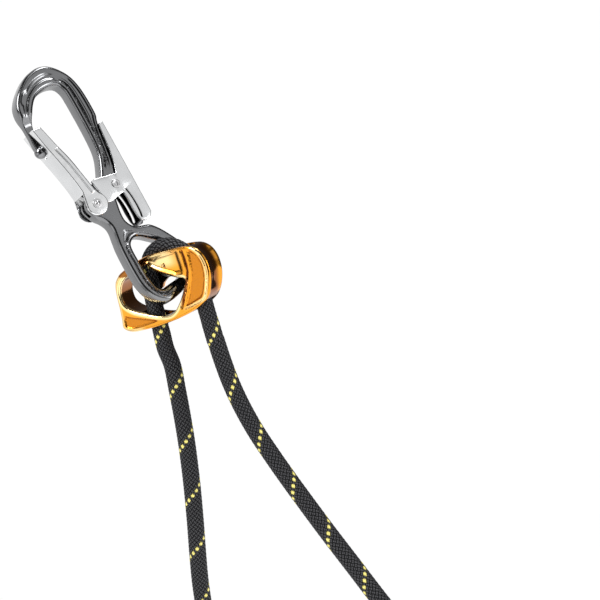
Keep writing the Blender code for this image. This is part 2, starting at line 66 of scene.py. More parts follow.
# The design's own numbers, in millimetres (the pulley's a, b, c axes as in the CAD).
MM = 0.001
YAW = math.radians(-60.0)
ROLL = math.radians(11.0)
CENTRE = (10.73, -5.42, -137.0)
CHEEK_OUT, CHEEK_IN = 8.4, 5.75
ROPE_D, BEND_R = 11.0, 16.3
GATE_PIVOT, LEVER_PIVOT = (-12.7, -79.0), (5.6, -72.5)
HOOK_HALF, NOSE_HALF, EDGE = 6.0, 2.3, 2.4
SHEAVE = (1.5, 4.6)
PULLEY = (Matrix.Translation(Vector(CENTRE) * MM)
          @ Matrix.Rotation(YAW, 4, "Z") @ Matrix.Rotation(ROLL, 4, "Y"))
scene = bpy.context.scene

# ------------------------------------------------------------------- camera
VIEW_R = Vector((math.cos(math.radians(-30)), math.sin(math.radians(-30)), 0.0))
VIEW_BACK = Vector((-0.5, -math.sqrt(0.75), 0.0))
TILT = math.radians(29.0)
UP_AXIS = VIEW_R * math.sin(TILT) + Vector((0, 0, 1)) * math.cos(TILT)
RIGHT_AXIS = VIEW_R * math.cos(TILT) - Vector((0, 0, 1)) * math.sin(TILT)
cam_data = bpy.data.cameras.new("camera")
cam_data.lens, cam_data.sensor_width = 100.0, 36.0
cam_data.clip_start, cam_data.clip_end = 0.05, 30.0
cam = bpy.data.objects.new("camera", cam_data)
bpy.context.collection.objects.link(cam)
aim = Vector((63.9, -36.9, -191.7)) * MM
rot = Matrix((RIGHT_AXIS, UP_AXIS, VIEW_BACK)).transposed()
cam.matrix_world = Matrix.Translation(aim + VIEW_BACK * 1.0417) @ rot.to_4x4()
scene.camera = cam


# ---------------------------------------------------------------- materials
class Nodes:
    """A short way to write a material's nodes."""

    def __init__(self, name):
        self.m = bpy.data.materials.new(name)
        self.m.use_nodes = True
        self.t = self.m.node_tree
        self.p = self.t.nodes["Principled BSDF"]

    def n(self, kind, **inputs):
        node = self.t.nodes.new(kind)
        for k, v in inputs.items():
            k = k.replace("_", " ")
            if k in node.inputs:
                node.inputs[k].default_value = v
        return node

    def link(self, a, b):
        self.t.links.new(a, b)

    def math(self, op, a, b=None):
        node = self.t.nodes.new("ShaderNodeMath")
        node.operation = op
        for i, v in enumerate((a, b)):
            if v is None:
                continue
            if isinstance(v, (int, float)):
                node.inputs[i].default_value = v
            else:
                self.link(v, node.inputs[i])
        return node.outputs[0]

    def mix(self, fac, a, b):
        node = self.t.nodes.new("ShaderNodeMix")
        node.data_type = "RGBA"
        for socket, v in ((node.inputs[0], fac), (node.inputs[6], a), (node.inputs[7], b)):
            if isinstance(v, (int, float)):
                socket.default_value = v
            elif isinstance(v, tuple):
                socket.default_value = (*v, 1.0)
            else:
                self.link(v, socket)
        return node.outputs[2]

    def noise(self, scale, detail=3.0, stretch=None, rough=0.5):
        coord = self.t.nodes.new("ShaderNodeTexCoord").outputs["Object"]
        if stretch:
            mp = self.t.nodes.new("ShaderNodeMapping")
            mp.inputs["Scale"].default_value = stretch
            self.link(coord, mp.inputs["Vector"])
            coord = mp.outputs[0]
        node = self.n("ShaderNodeTexNoise", Scale=scale, Detail=detail, Roughness=rough)
        self.link(coord, node.inputs["Vector"])
        return node.outputs["Fac"]

    def ramp(self, fac, stops):
        node = self.t.nodes.new("ShaderNodeValToRGB")
        el = node.color_ramp.elements
        while len(el) < len(stops):
            el.new(0.5)
        for e, (pos, col) in zip(el, stops):
            e.position = pos
            e.color = (*col, 1.0) if isinstance(col, tuple) else (col, col, col, 1.0)
        self.link(fac, node.inputs[0])
        return node.outputs[0]

    def bump(self, height, strength, distance, base=None):
        node = self.n("ShaderNodeBump", Strength=strength, Distance=distance)
        self.link(height, node.inputs["Height"])
        if base is not None:
            self.link(base, node.inputs["Normal"])
        self.link(node.outputs[0], self.p.inputs["Normal"])
        return node.outputs[0]

    def pointiness(self, low, high):
        geo = self.t.nodes.new("ShaderNodeNewGeometry").outputs["Pointiness"]
        return self.ramp(geo, [(low, 0.0), (high, 1.0)])


def metal(name, colour, light, rough, rough_var=0.1, bump=0.02, stretch=None, wear=0.5, coat=0.0, metallic=1.0,
          grain=900.0):
    """Worn metal: a base colour with slow variation, lighter edges and fine grain."""
    k = Nodes(name)
    slow = k.noise(45.0, 3.0)
    fine = k.noise(grain, 2.0, stretch)
    dark = tuple(c * 0.86 for c in colour)
    base = k.mix(k.ramp(slow, [(0.3, 0.0), (0.7, 1.0)]), dark, colour)
    edge = k.math("MULTIPLY", k.pointiness(0.52, 0.60), wear)
    edge = k.math("MULTIPLY", edge, k.ramp(k.noise(320.0, 4.0), [(0.35, 0.2), (0.65, 1.0)]))
    k.link(k.mix(edge, base, light), k.p.inputs["Base Color"])
    k.p.inputs["Metallic"].default_value = metallic
    r = k.math("ADD", k.math("MULTIPLY", fine, rough_var), rough - rough_var / 2)
    scuff = k.math("MULTIPLY", k.ramp(k.noise(150.0, 6.0, (1.0, 1.0, 6.0)), [(0.60, 0.0), (0.72, 1.0)]), 0.12)
    k.link(k.math("ADD", r, scuff), k.p.inputs["Roughness"])
    k.p.inputs["Coat Weight"].default_value = coat
    k.p.inputs["Coat Roughness"].default_value = 0.12
    k.bump(fine, bump, 0.00012)
    return k.m


GREY = metal("forged_grey", (0.235, 0.238, 0.245), (0.50, 0.50, 0.50), 0.18, 0.08, 0.05, wear=0.5)
SILVER = metal("plated_steel", (0.80, 0.81, 0.82), (0.92, 0.92, 0.92), 0.16, 0.10, 0.06, (1.0, 1.0, 0.06), wear=0.5)
GOLD = metal("gold_anodised", (0.84, 0.34, 0.024), (1.0, 0.70, 0.26), 0.15, 0.05, 0.02, wear=0.0, coat=0.25)


def gold_tones():
    """A painted highlight makes the rims paler, painted shade darkens grooves and inner walls in dark maroon, and
    recesses are deeper in colour and more matt.
    """
    t = GOLD.node_tree
    p = t.nodes["Principled BSDF"]
    base = p.inputs["Base Color"].links[0].from_socket
    rough = p.inputs["Roughness"].links[0].from_socket
    out = base
    # The pale tone is a painted highlight and the dark maroon tone is painted shade; the recess tone is deeper colour
    # and more matt.
    for name, colour, amount in (("recess", (0.62, 0.21, 0.010), 0.9), ("painted_highlight", (1.0, 0.80, 0.40), 0.95),
                                 ("deep", (0.13, 0.022, 0.004), 0.95)):
        a = t.nodes.new("ShaderNodeAttribute")
        a.attribute_name = name
        m = t.nodes.new("ShaderNodeMath")
        m.operation = "MULTIPLY"
        m.inputs[1].default_value = amount
        t.links.new(a.outputs["Fac"], m.inputs[0])
        x = t.nodes.new("ShaderNodeMix")
        x.data_type = "RGBA"
        t.links.new(m.outputs[0], x.inputs[0])
        t.links.new(out, x.inputs[6])
        x.inputs[7].default_value = (*colour, 1.0)
        out = x.outputs[2]
        if name == "recess":
            r = t.nodes.new("ShaderNodeMath")
            r.operation = "MULTIPLY_ADD"
            t.links.new(m.outputs[0], r.inputs[0])
            r.inputs[1].default_value = 0.22
            t.links.new(rough, r.inputs[2])
            t.links.new(r.outputs[0], p.inputs["Roughness"])
    t.links.new(out, p.inputs["Base Color"])


gold_tones()


def silver_tones():
    """Inner walls of the pressed lever lie in its own shade and read dark."""
    t = SILVER.node_tree
    p = t.nodes["Principled BSDF"]
    base = p.inputs["Base Color"].links[0].from_socket
    a = t.nodes.new("ShaderNodeAttribute")
    a.attribute_name = "deep"
    x = t.nodes.new("ShaderNodeMix")
    x.data_type = "RGBA"
    t.links.new(a.outputs["Fac"], x.inputs[0])
    t.links.new(base, x.inputs[6])
    x.inputs[7].default_value = (0.02, 0.02, 0.022, 1.0)
    t.links.new(x.outputs[2], p.inputs["Base Color"])


silver_tones()
POCKET = metal("gold_satin", (0.86, 0.36, 0.03), (0.95, 0.55, 0.12), 0.42, 0.1, 0.25, wear=0.2, metallic=0.75)
STEEL = metal("stainless", (0.60, 0.60, 0.61), (0.8, 0.8, 0.8), 0.28, 0.12, 0.05, (1.0, 1.0, 0.1))
DARK = metal("sheave_black", (0.05, 0.05, 0.052), (0.35, 0.35, 0.35), 0.32, 0.12, 0.05)
BRONZE = metal("bronze", (0.55, 0.36, 0.16), (0.75, 0.55, 0.3), 0.36, 0.12, 0.05)


def rope_material():
    k = Nodes("black_rope")
    tr = k.n("ShaderNodeAttribute")
    tr.attribute_name = "tracer"
    lift = k.n("ShaderNodeAttribute")
    lift.attribute_name = "crown"
    fuzz = k.noise(2600.0, 2.0)
    # The yarns' crowns are painted lighter as a glint, and the gaps between them darker as painted shade.
    yarn_shade_and_glint = k.mix(k.math("POWER", lift.outputs["Fac"], 4.0), (0.0006, 0.0006, 0.0008), (0.125, 0.125, 0.135))
    yarn_shade_and_glint = k.mix(k.math("MULTIPLY", fuzz, 0.12), yarn_shade_and_glint, (0.05, 0.05, 0.055))
    # The yellow tracer gets the same painted glint on its crowns and painted shade in its gaps.
    tracer_shade_and_glint = k.mix(lift.outputs["Fac"], (0.40, 0.30, 0.03), (1.0, 0.90, 0.26))
    k.link(k.mix(tr.outputs["Fac"], yarn_shade_and_glint, tracer_shade_and_glint), k.p.inputs["Base Color"])
    k.link(k.ramp(lift.outputs["Fac"], [(0.35, 0.85), (0.9, 0.42)]), k.p.inputs["Roughness"])
    k.link(k.math("MULTIPLY", k.math("POWER", lift.outputs["Fac"], 2.0), 0.42), k.p.inputs["Specular IOR Level"])
    k.bump(fuzz, 0.3, 0.0002)
    return k.m


def sleeve_material():
    k = Nodes("shrink_sleeve")
    fine = k.noise(1500.0, 3.0)
    k.link(k.mix(k.noise(60.0, 3.0), (0.012, 0.012, 0.013), (0.028, 0.028, 0.03)), k.p.inputs["Base Color"])
    k.link(k.math("ADD", k.math("MULTIPLY", fine, 0.2), 0.32), k.p.inputs["Roughness"])
    k.bump(fine, 0.25, 0.0003)
    return k.m


ROPE = rope_material()
SLEEVE = sleeve_material()


# ------------------------------------------------------------ shape helpers
def world(a, b, c):
    return PULLEY @ Vector((a * MM, b * MM, c * MM))


def at(x, y, z):
    return Matrix.Translation((x * MM, y * MM, z * MM))


def add(name, bm, material, matrix=None, sharp=32.0, recalc=True):
    me = bpy.data.meshes.new(name)
    if recalc:
        bmesh.ops.recalc_face_normals(bm, faces=bm.faces)
    bm.to_mesh(me)
    bm.free()
    if matrix is not None:
        me.transform(matrix)
    me.shade_smooth()
    me.set_sharp_from_angle(angle=math.radians(sharp))
    me.materials.append(material)
    ob = bpy.data.objects.new(name, me)
    bpy.context.collection.objects.link(ob)
    return ob


def spline(points, closed=False, per=4):
    n = len(points)
    out = []
    for i in range(n if closed else n - 1):
        if closed:
            p = [points[(i + k - 1) % n] for k in range(4)]
        else:
            p = [points[min(max(i + k - 1, 0), n - 1)] for k in range(4)]
        for s in range(per):
            t = s / per
            out.append(tuple(0.5 * (2 * p[1][k] + (p[2][k] - p[0][k]) * t
                                    + (2 * p[0][k] - 5 * p[1][k] + 4 * p[2][k] - p[3][k]) * t * t
                                    + (3 * p[1][k] - p[0][k] - 3 * p[2][k] + p[3][k]) * t ** 3)
                             for k in range(len(p[1]))))
    if not closed:
        out.append(tuple(points[-1]))
    return out


def area(loop):
    return 0.5 * sum(loop[i - 1][0] * loop[i][1] - loop[i][0] * loop[i - 1][1] for i in range(len(loop)))


def resample(loop, step):
    n = len(loop)
    lens = [math.dist(loop[i], loop[(i + 1) % n]) for i in range(n)]
    total = sum(lens)
    count = max(6, int(round(total / step)))
    out, i, walked = [], 0, 0.0
    for k in range(count):
        want = total * k / count
        while walked + lens[i] < want and i < n - 1:
            walked += lens[i]
            i += 1
        t = (want - walked) / max(lens[i], 1e-9)
        a, b = loop[i], loop[(i + 1) % n]
        out.append((a[0] + (b[0] - a[0]) * t, a[1] + (b[1] - a[1]) * t))
    return out


def inset(loop, d):
    n = len(loop)
    normals, allow = [], []
    for i in range(n):
        a, p, b = loop[(i - 2) % n], loop[i], loop[(i + 2) % n]
        tx, ty = b[0] - a[0], b[1] - a[1]
        m = math.hypot(tx, ty) or 1e-9
        normals.append((-ty / m, tx / m))
        cross = (p[0] - a[0]) * (b[1] - p[1]) - (p[1] - a[1]) * (b[0] - p[0])
        k = 2 * cross / max(math.dist(a, p) * math.dist(p, b) * m, 1e-9)
        most = d(*p)
        allow.append(min(most, 0.75 / k) if k > 1e-6 else most)
    for _ in range(6):
        allow = [min(allow[i], 0.5 * (allow[i - 1] + allow[(i + 1) % n]) + 0.05) for i in range(n)]
    return [(loop[i][0] + normals[i][0] * allow[i], loop[i][1] + normals[i][1] * allow[i]) for i in range(n)]


def inside(point, loop):
    x, y = point
    hit = False
    for i in range(len(loop)):
        (x0, y0), (x1, y1) = loop[i - 1], loop[i]
        if (y0 > y) != (y1 > y) and x < x0 + (y - y0) * (x1 - x0) / (y1 - y0):
            hit = not hit
    return hit


def slab(name, loops, half, edge, material, matrix=None, steps=5, depth=None, sharp=32.0):
    """Solid between -half and +half, its edges rounded edge wide and depth deep."""
    bm = bmesh.new()
    caps = {-1: [], 1: []}
    height = half if callable(half) else (lambda x, z: half)
    wide = edge if callable(edge) else (lambda x, z: edge)
    deep = depth if callable(depth) else ((lambda x, z: depth) if depth else wide)
    for index, loop in enumerate(loops):
        if (area(loop) > 0) != (index == 0):
            loop = loop[::-1]
        n = len(loop)
        rings = []
        for s in range(steps + 1):
            q = 0.5 * math.pi * s / steps
            part = 1 - math.sin(q)
            rings.append((inset(loop, lambda x, z: wide(x, z) * part) if s < steps else loop, 1 - math.cos(q)))
        column = []
        for sign, seq in ((-1, rings), (1, rings[::-1])):
            for pts, drop in seq:
                column.append([bm.verts.new((p[0] * MM, sign * (height(*loop[i]) - drop * deep(*loop[i])) * MM,
                                             p[1] * MM)) for i, p in enumerate(pts)])
        for lo, hi in zip(column, column[1:]):
            for i in range(n):
                j = (i + 1) % n
                bm.faces.new((lo[i], lo[j], hi[j], hi[i]))
        caps[-1].append(column[0])
        caps[1].append(column[-1])
    for side in (-1, 1):
        flat = [v for ring in caps[side] for v in ring]
        edges, base = [], 0
        for ring in caps[side]:
            edges += [(base + i, base + (i + 1) % len(ring)) for i in range(len(ring))]
            base += len(ring)
        loops2d = [[(v.co.x, v.co.z) for v in ring] for ring in caps[side]]
        coords = [Vector(q) for ring in loops2d for q in ring]
        _, _, tris, origin, _, _ = delaunay_2d_cdt(coords, edges, [], 1, 1e-9)
        for tri in tris:
            if not all(origin[i] for i in tri):
                continue
            ids = [origin[i][0] for i in tri]
            mid = [sum(coords[i][k] for i in ids) / 3 for k in (0, 1)]
            if inside(mid, loops2d[0]) and not any(inside(mid, q) for q in loops2d[1:]):
                bm.faces.new([flat[i] for i in ids])
    return add(name, bm, material, matrix, sharp)


def turned(name, profile, material, matrix, sides=48, ring=False, sharp=32.0):
    bm = bmesh.new()
    rings = []
    for rad, y in profile:
        if rad < 1e-6:
            rings.append([bm.verts.new((0, y * MM, 0))])
        else:
            rings.append([bm.verts.new((rad * MM * math.cos(2 * math.pi * k / sides), y * MM,
                                        rad * MM * math.sin(2 * math.pi * k / sides))) for k in range(sides)])
    pairs = list(zip(rings, rings[1:])) + ([(rings[-1], rings[0])] if ring else [])
    for lo, hi in pairs:
        for k in range(sides):
            j = (k + 1) % sides
            if len(lo) == 1:
                bm.faces.new((lo[0], hi[k], hi[j]))
            elif len(hi) == 1:
                bm.faces.new((lo[k], hi[0], lo[j]))
            else:
                bm.faces.new((lo[k], hi[k], hi[j], lo[j]))
    return add(name, bm, material, matrix, sharp)


def block(name, x, y, z, matrix=None):
    bm = bmesh.new()
    v = [bm.verts.new((xx * MM, yy * MM, zz * MM)) for xx in x for yy in y for zz in z]
    for f in ((0, 1, 3, 2), (4, 6, 7, 5), (0, 4, 5, 1), (2, 3, 7, 6), (0, 2, 6, 4), (1, 5, 7, 3)):
        bm.faces.new([v[i] for i in f])
    return add(name, bm, STEEL, matrix)


def tube(name, points, radius, material, sides=12, caps=True, matrix=None):
    bm = bmesh.new()
    pts = [Vector(p) for p in points]
    rings, ref = [], None
    for i, p in enumerate(pts):
        t = (pts[min(i + 1, len(pts) - 1)] - pts[max(i - 1, 0)]).normalized()
        if ref is None:
            ref = t.orthogonal().normalized()
        ref = (ref - t * ref.dot(t)).normalized()
        side = t.cross(ref)
        r = radius(i / (len(pts) - 1)) if callable(radius) else radius
        rings.append([bm.verts.new(p + r * MM * (ref * math.cos(2 * math.pi * k / sides)
                                                 + side * math.sin(2 * math.pi * k / sides))) for k in range(sides)])
    for lo, hi in zip(rings, rings[1:]):
        for k in range(sides):
            j = (k + 1) % sides
            bm.faces.new((lo[k], lo[j], hi[j], hi[k]))
    if caps:
        bm.faces.new(rings[0][::-1])
        bm.faces.new(rings[-1])
    return add(name, bm, material, matrix)


def apply_mods(ob):
    dg = bpy.context.evaluated_depsgraph_get()
    dg.update()
    me = bpy.data.meshes.new_from_object(ob.evaluated_get(dg))
    ob.modifiers.clear()
    ob.data = me
    return ob


def cut(target, tool, operation="DIFFERENCE", solver="EXACT"):
    """Apply a Boolean and drop its cutter. Keeps the old mesh if the cut fails."""
    before = target.data
    mod = target.modifiers.new(tool.name, "BOOLEAN")
    mod.object, mod.operation, mod.solver = tool, operation, solver
    apply_mods(target)
    if len(target.data.polygons) < 20:
        print("CUT FAILED", target.name, tool.name)
        target.data = before
    bpy.data.objects.remove(tool, do_unlink=True)


def refine(ob, width=0.0, segments=2, angle=40.0, sharp=32.0):
    """Small bevel on the sharp edges, then smooth shading."""
    if width:
        m = ob.modifiers.new("edges", "BEVEL")
        m.width, m.segments, m.limit_method = width * MM, segments, "ANGLE"
        m.angle_limit = math.radians(angle)
        m.harden_normals = False
        apply_mods(ob)
    ob.data.shade_smooth()
    ob.data.set_sharp_from_angle(angle=math.radians(sharp))
    return ob


# --------------------------------------------- slabs with a modelled face
def gap_to(loop, closed=None):
    """Distance to a line of points (mm)."""
    from mathutils.kdtree import KDTree
    if closed is not None:
        fine = []
        for i in range(0 if closed else 1, len(loop)):
            n = max(1, int(math.dist(loop[i - 1], loop[i]) / 0.2))
            fine += [(loop[i - 1][0] + (loop[i][0] - loop[i - 1][0]) * k / n,
                      loop[i - 1][1] + (loop[i][1] - loop[i - 1][1]) * k / n) for k in range(n)]
        loop = fine + [loop[-1]]
    tree = KDTree(len(loop))
    for i, p in enumerate(loop):
        tree.insert((p[0], p[1], 0), i)
    tree.balance()
    return lambda x, z: tree.find((x, z, 0))[2]


def region(points, per=4, step=0.4, closed=True):
    """Signed distance (negative inside) to a smooth closed outline."""
    loop = resample(spline(points, True, per), step)
    dist = gap_to(loop)
    box = (min(p[0] for p in loop), max(p[0] for p in loop), min(p[1] for p in loop), max(p[1] for p in loop))

    def fn(x, z):
        if not (box[0] - 3 < x < box[1] + 3 and box[2] - 3 < z < box[3] + 3):
            return 3.0
        d = dist(x, z)
        return -d if inside((x, z), loop) else d
    return fn


def contours(line, offsets, closed, step=0.55):
    """Points along lines parallel to a line, for the mesh to follow a crease."""
    out = []
    n = len(line)
    walked = 0.0
    for i in range(0 if closed else 1, n):
        a, b = line[i - 1], line[i]
        seg = math.dist(a, b)
        walked += seg
        if walked < step or seg < 1e-6:
            continue
        walked = 0.0
        nx, nz = -(b[1] - a[1]) / seg, (b[0] - a[0]) / seg
        out += [(b[0] + nx * o, b[1] + nz * o) for o in offsets]
    return out


def smooth(a, b, x):
    t = min(max((x - a) / (b - a), 0.0), 1.0)
    return t * t * (3 - 2 * t)


def carved(name, loops, half, edge, material, matrix, relief, depth=None, steps=5, grid=0.8, waist=None,
           walls=1, sharp=30.0, creases=()):
    """A slab whose two faces follow relief(x, z, side), millimetres added outwards."""
    bm = bmesh.new()
    caps = {-1: [], 1: []}
    height = half if callable(half) else (lambda x, z: half)
    wide = edge if callable(edge) else (lambda x, z: edge)
    deep = depth if callable(depth) else ((lambda x, z: depth) if depth else wide)
    for index, loop in enumerate(loops):
        if (area(loop) > 0) != (index == 0):
            loop = loop[::-1]
        n = len(loop)
        rings = []
        for s in range(steps + 1):
            q = 0.5 * math.pi * s / steps
            part = 1 - math.sin(q)
            rings.append((inset(loop, lambda x, z: wide(x, z) * part) if s < steps else loop, 1 - math.cos(q)))
        column = []
        for pts, drop in rings:
            column.append([bm.verts.new((p[0] * MM, -(height(*loop[i]) - drop * deep(*loop[i])) * MM, p[1] * MM))
                           for i, p in enumerate(pts)])
        for w in range(1, walls):
            t = 2.0 * w / walls - 1
            pull = inset(loop, lambda x, z: waist(x, z) * (1 - t * t)) if waist else loop
            column.append([bm.verts.new((p[0] * MM, t * (height(*loop[i]) - deep(*loop[i])) * MM, p[1] * MM))
                           for i, p in enumerate(pull)])
        for pts, drop in rings[::-1]:
            column.append([bm.verts.new((p[0] * MM, (height(*loop[i]) - drop * deep(*loop[i])) * MM, p[1] * MM))
                           for i, p in enumerate(pts)])
        for lo, hi in zip(column, column[1:]):
            for i in range(n):
                j = (i + 1) % n
                bm.faces.new((lo[i], lo[j], hi[j], hi[i]))
        caps[-1].append(column[0])
        caps[1].append(column[-1])
    for side in (-1, 1):
        flat = [v for ring in caps[side] for v in ring]
        edges, base = [], 0
        for ring in caps[side]:
            edges += [(base + i, base + (i + 1) % len(ring)) for i in range(len(ring))]
            base += len(ring)
        loops2d = [[(v.co.x / MM, v.co.z / MM) for v in ring] for ring in caps[side]]
        near = gap_to([q for ring in loops2d for q in ring])
        coords = [Vector(q) for ring in loops2d for q in ring]
        first = len(coords)
        clear = None
        if creases and side < 0:
            kept = []
            for q in creases:
                if near(*q) > 0.3 and inside(q, loops2d[0]) and not any(inside(q, w) for w in loops2d[1:]):
                    kept.append(q)
            coords += [Vector(q) for q in kept]
            clear = gap_to(kept) if kept else None
        x0, x1 = min(q[0] for q in loops2d[0]), max(q[0] for q in loops2d[0])
        z0, z1 = min(q[1] for q in loops2d[0]), max(q[1] for q in loops2d[0])
        row, z = 0, z0
        while z < z1:
            x = x0 + (0.5 * grid if row % 2 else 0.0)
            while x < x1:
                if near(x, z) > 0.55 * grid and (clear is None or clear(x, z) > 0.45) and inside(
                        (x, z), loops2d[0]) and not any(inside((x, z), q) for q in loops2d[1:]):
                    coords.append(Vector((x, z)))
                x += grid
            row += 1
            z += 0.87 * grid
        verts2, _, tris, origin, _, _ = delaunay_2d_cdt(coords, edges, [], 1, 1e-7)
        for c in coords[first:]:
            fade = smooth(0.0, 1.2, near(c[0], c[1]))
            y = height(c[0], c[1]) + fade * relief(c[0], c[1], side)
            flat.append(bm.verts.new((c[0] * MM, side * y * MM, c[1] * MM)))
        for tri in tris:
            if not all(origin[i] for i in tri):
                continue
            ids = [origin[i][0] for i in tri]
            mid = [sum(coords[i][k] for i in ids) / 3 for k in (0, 1)]
            if max(ids) >= first or (inside(mid, loops2d[0]) and not any(inside(mid, q) for q in loops2d[1:])):
                try:
                    bm.faces.new([flat[i] for i in ids])
                except ValueError:
                    pass
    return add(name, bm, material, matrix, sharp)


# ---------------------------------------------------------------- hook frame
px, pz = GATE_PIVOT
heel = [(px + 6.3 * math.cos(math.radians(t)), pz + 6.3 * math.sin(math.radians(t)))
        for t in (195, 165, 135, 105, 80)]
basket = [(-7.5, -70.6), (-3.6, -67.6), (0.0, -63.6), (3.0, -58.0), (5.3, -52.5), (6.6, -47.0),
          (7.2, -40.0), (7.5, -30.0), (7.5, -20.0), (7.4, -12.0), (6.9, -6.0), (4.6, -1.6),
          (0.0, 0.0), (-5.0, 0.0), (-10.5, -1.6), (-14.6, -4.4), (-18.9, -10.0), (-22.0, -16.0),
          (-23.4, -22.0), (-23.6, -33.0)]
outline = [
    (-28.3, -33.0), (-28.4, -24.0), (-28.6, -16.0), (-28.5, -10.6), (-28.1, -6.3), (-26.6, -1.9),
    (-22.9, 3.1), (-17.7, 7.8), (-12.6, 11.3), (-7.4, 13.2), (-2.0, 14.1), (3.0, 13.2),
    (7.8, 10.4), (12.6, 5.3), (15.7, 0.0), (17.5, -6.3), (18.3, -12.5), (18.6, -20.0),
    (18.4, -27.5), (17.2, -31.0), (16.0, -36.0), (14.9, -43.0), (13.8, -51.0), (12.2, -60.0),
    (9.6, -68.0), (5.6, -75.0), (2.6, -80.0), (1.4, -85.0), (0.5, -90.0), (0.4, -95.0),
    (2.0, -98.8), (5.0, -101.6), (9.5, -103.0), (14.0, -104.4), (18.2, -108.4), (22.2, -114.0),
    (26.4, -121.0), (29.6, -128.0), (30.4, -134.8), (28.6, -141.2), (23.0, -146.6), (14.5, -150.2),
    (6.5, -152.4), (0.0, -153.0), (-5.6, -149.5), (-9.6, -143.5), (-12.0, -136.0), (-12.6, -128.0),
    (-12.6, -119.0), (-12.2, -110.0), (-11.2, -103.0), (-10.4, -98.0), (-10.8, -94.0),
    (-13.0, -90.0), (-16.0, -86.6)] + heel + basket
eye = [(-4.8, -113.0), (-2.8, -109.0), (0.9, -107.6), (5.2, -109.0), (10.0, -112.4), (15.6, -117.4),
       (21.4, -126.5), (22.3, -132.8), (20.6, -138.6), (14.5, -142.2), (7.0, -143.2), (1.2, -144.2),
       (-2.6, -141.0), (-4.4, -134.0), (-4.9, -124.0)]


def tongue(x, z):
    t = min(max((-z - 9.0) / 9.0, 0.0), 1.0) if x < -20.0 else 0.0
    return t * t * (3 - 2 * t)


def frame_half(x, z):
    return HOOK_HALF + (NOSE_HALF - HOOK_HALF) * tongue(x, z)


def frame_edge(x, z):
    return EDGE + (0.8 - EDGE) * tongue(x, z)


hook_out = resample(spline(outline, True, 6), 1.0)
hook_eye = resample(spline(eye, True, 6), 1.0)
very_fine = resample(hook_out, 0.2)
within = [(-24.6, 3), (12, 3), (13, -40), (8, -72), (-9, -73), (-24.6, -34)]
to_in = gap_to([p for p in very_fine if inside(p, within)] + resample(hook_eye, 0.2))
to_out = gap_to([p for p in very_fine if not inside(p, within)])


def hook_relief(x, z, side):
    """Flutes and flats of the forging, each with a crisp ridge."""
    a, b = to_in(x, z), to_out(x, z)
    t = a / max(a + b, 1e-6)
    k = 0.0
    if z > -66.0:
        spine = smooth(-64.0, -56.0, z) * smooth(2.0, 6.0, x) * (1 - smooth(-4.0, 6.0, z))
        k -= spine * (1.0 * (1 - smooth(0.30, 0.45, t)) + 0.6 * smooth(0.48, 0.57, t) * (1 - smooth(0.80, 0.86, t)))
        bow = smooth(-14.0, -4.0, z) * (1 - smooth(0.0, 8.0, x))
        k -= 0.9 * bow * smooth(0.28, 0.42, t) * (1 - smooth(0.50, 0.66, t))
    arm = (1 - smooth(-116.0, -97.0, z)) * (1 - smooth(-4.0, 4.0, x) * smooth(-150.0, -140.0, z))
    if z > -152.0 and x < 12.0:
        k -= 1.8 * arm * smooth(0.22, 0.46, t) * (1 - smooth(0.50, 0.58, t)) * (1 - smooth(0.0, 10.0, x))
        k -= 1.2 * (1 - smooth(-118.0, -101.0, z)) * smooth(0.72, 0.98, t) * (1 - smooth(0.0, 8.0, x))
    return k


hook = carved("hook_frame_look", [hook_out, hook_eye], frame_half, frame_edge, GREY, None, hook_relief,
              steps=6, grid=0.55)
bead = turned("bead", [(0, -4.0)] + [(4.0 * math.cos(math.radians(t)), 4.0 * math.sin(math.radians(t)))
                                     for t in range(-75, 76, 15)] + [(0, 4.0)], GREY, at(-25.6, 0, -34.5), 40)
cut(hook, bead, "UNION")
for nm, (x, z), rad in (("gate_bore", GATE_PIVOT, 2.1), ("lever_bore", LEVER_PIVOT, 1.8)):
    cut(hook, turned(nm, [(0, -10), (rad, -10), (rad, 10), (0, 10)], STEEL, at(x, 0, z), 32))
cut(hook, block("gate_spring_pocket", (-24.0, -8.0), (-2.0, 2.0), (-84.0, -66.0)))
cut(hook, block("lever_spring_pocket", (1.93, 20.0), (-2.05, 2.05), (-77.37, -68.21)), solver="MANIFOLD")
refine(hook, 0.0, sharp=30)

# ---------------------------------------------------------------------- gate
gate_outer = [(-27.6, -21.2), (-26.6, -26.0), (-25.2, -33.0), (-23.2, -41.0), (-20.9, -51.0),
              (-18.9, -61.0), (-17.9, -69.0)]
lobe = [(px + 7.4 * math.cos(math.radians(t)), pz + 7.4 * math.sin(math.radians(t)))
        for t in (190, 215, 240, 265, 290, 315, 340, 5, 30, 52)]
gate_inner = [(-9.4, -70.0), (-11.6, -59.0), (-14.0, -47.0), (-17.4, -36.0), (-20.4, -25.0), (-21.6, -21.2)]
gate_line = spline(gate_outer, False, 6) + spline(lobe, False, 4) + spline(gate_inner, False, 6)
gate = slab("gate_look", [resample(gate_line, 0.9)], 9.0, 0.8, SILVER, steps=4)
channel = [(x + 1.2, z) for x, z in spline(gate_outer, False, 6)]
channel = [(channel[0][0], -15.0)] + channel + [(-19.0, -71.0), (-30.0, -71.0), (-30.0, -95.0),
                                               (5.0, -95.0), (5.0, -15.0)]
cut(gate, slab("gate_channel", [channel], 7.8, 0.02, STEEL, steps=1))
cut(gate, block("keyhole_slot", (-40.0, -22.6), (-2.9, 2.9), (-36.0, -10.0)))
cut(gate, turned("keyhole_round", [(0, -9), (5.0, -9), (5.0, 9), (0, 9)], STEEL,
                 at(-27.0, 0, -34.5) @ Matrix.Rotation(math.radians(90), 4, "Z"), 40))
cut(gate, turned("gate_pin_hole", [(0, -12), (2.1, -12), (2.1, 12), (0, 12)], STEEL, at(px, 0, pz), 32))
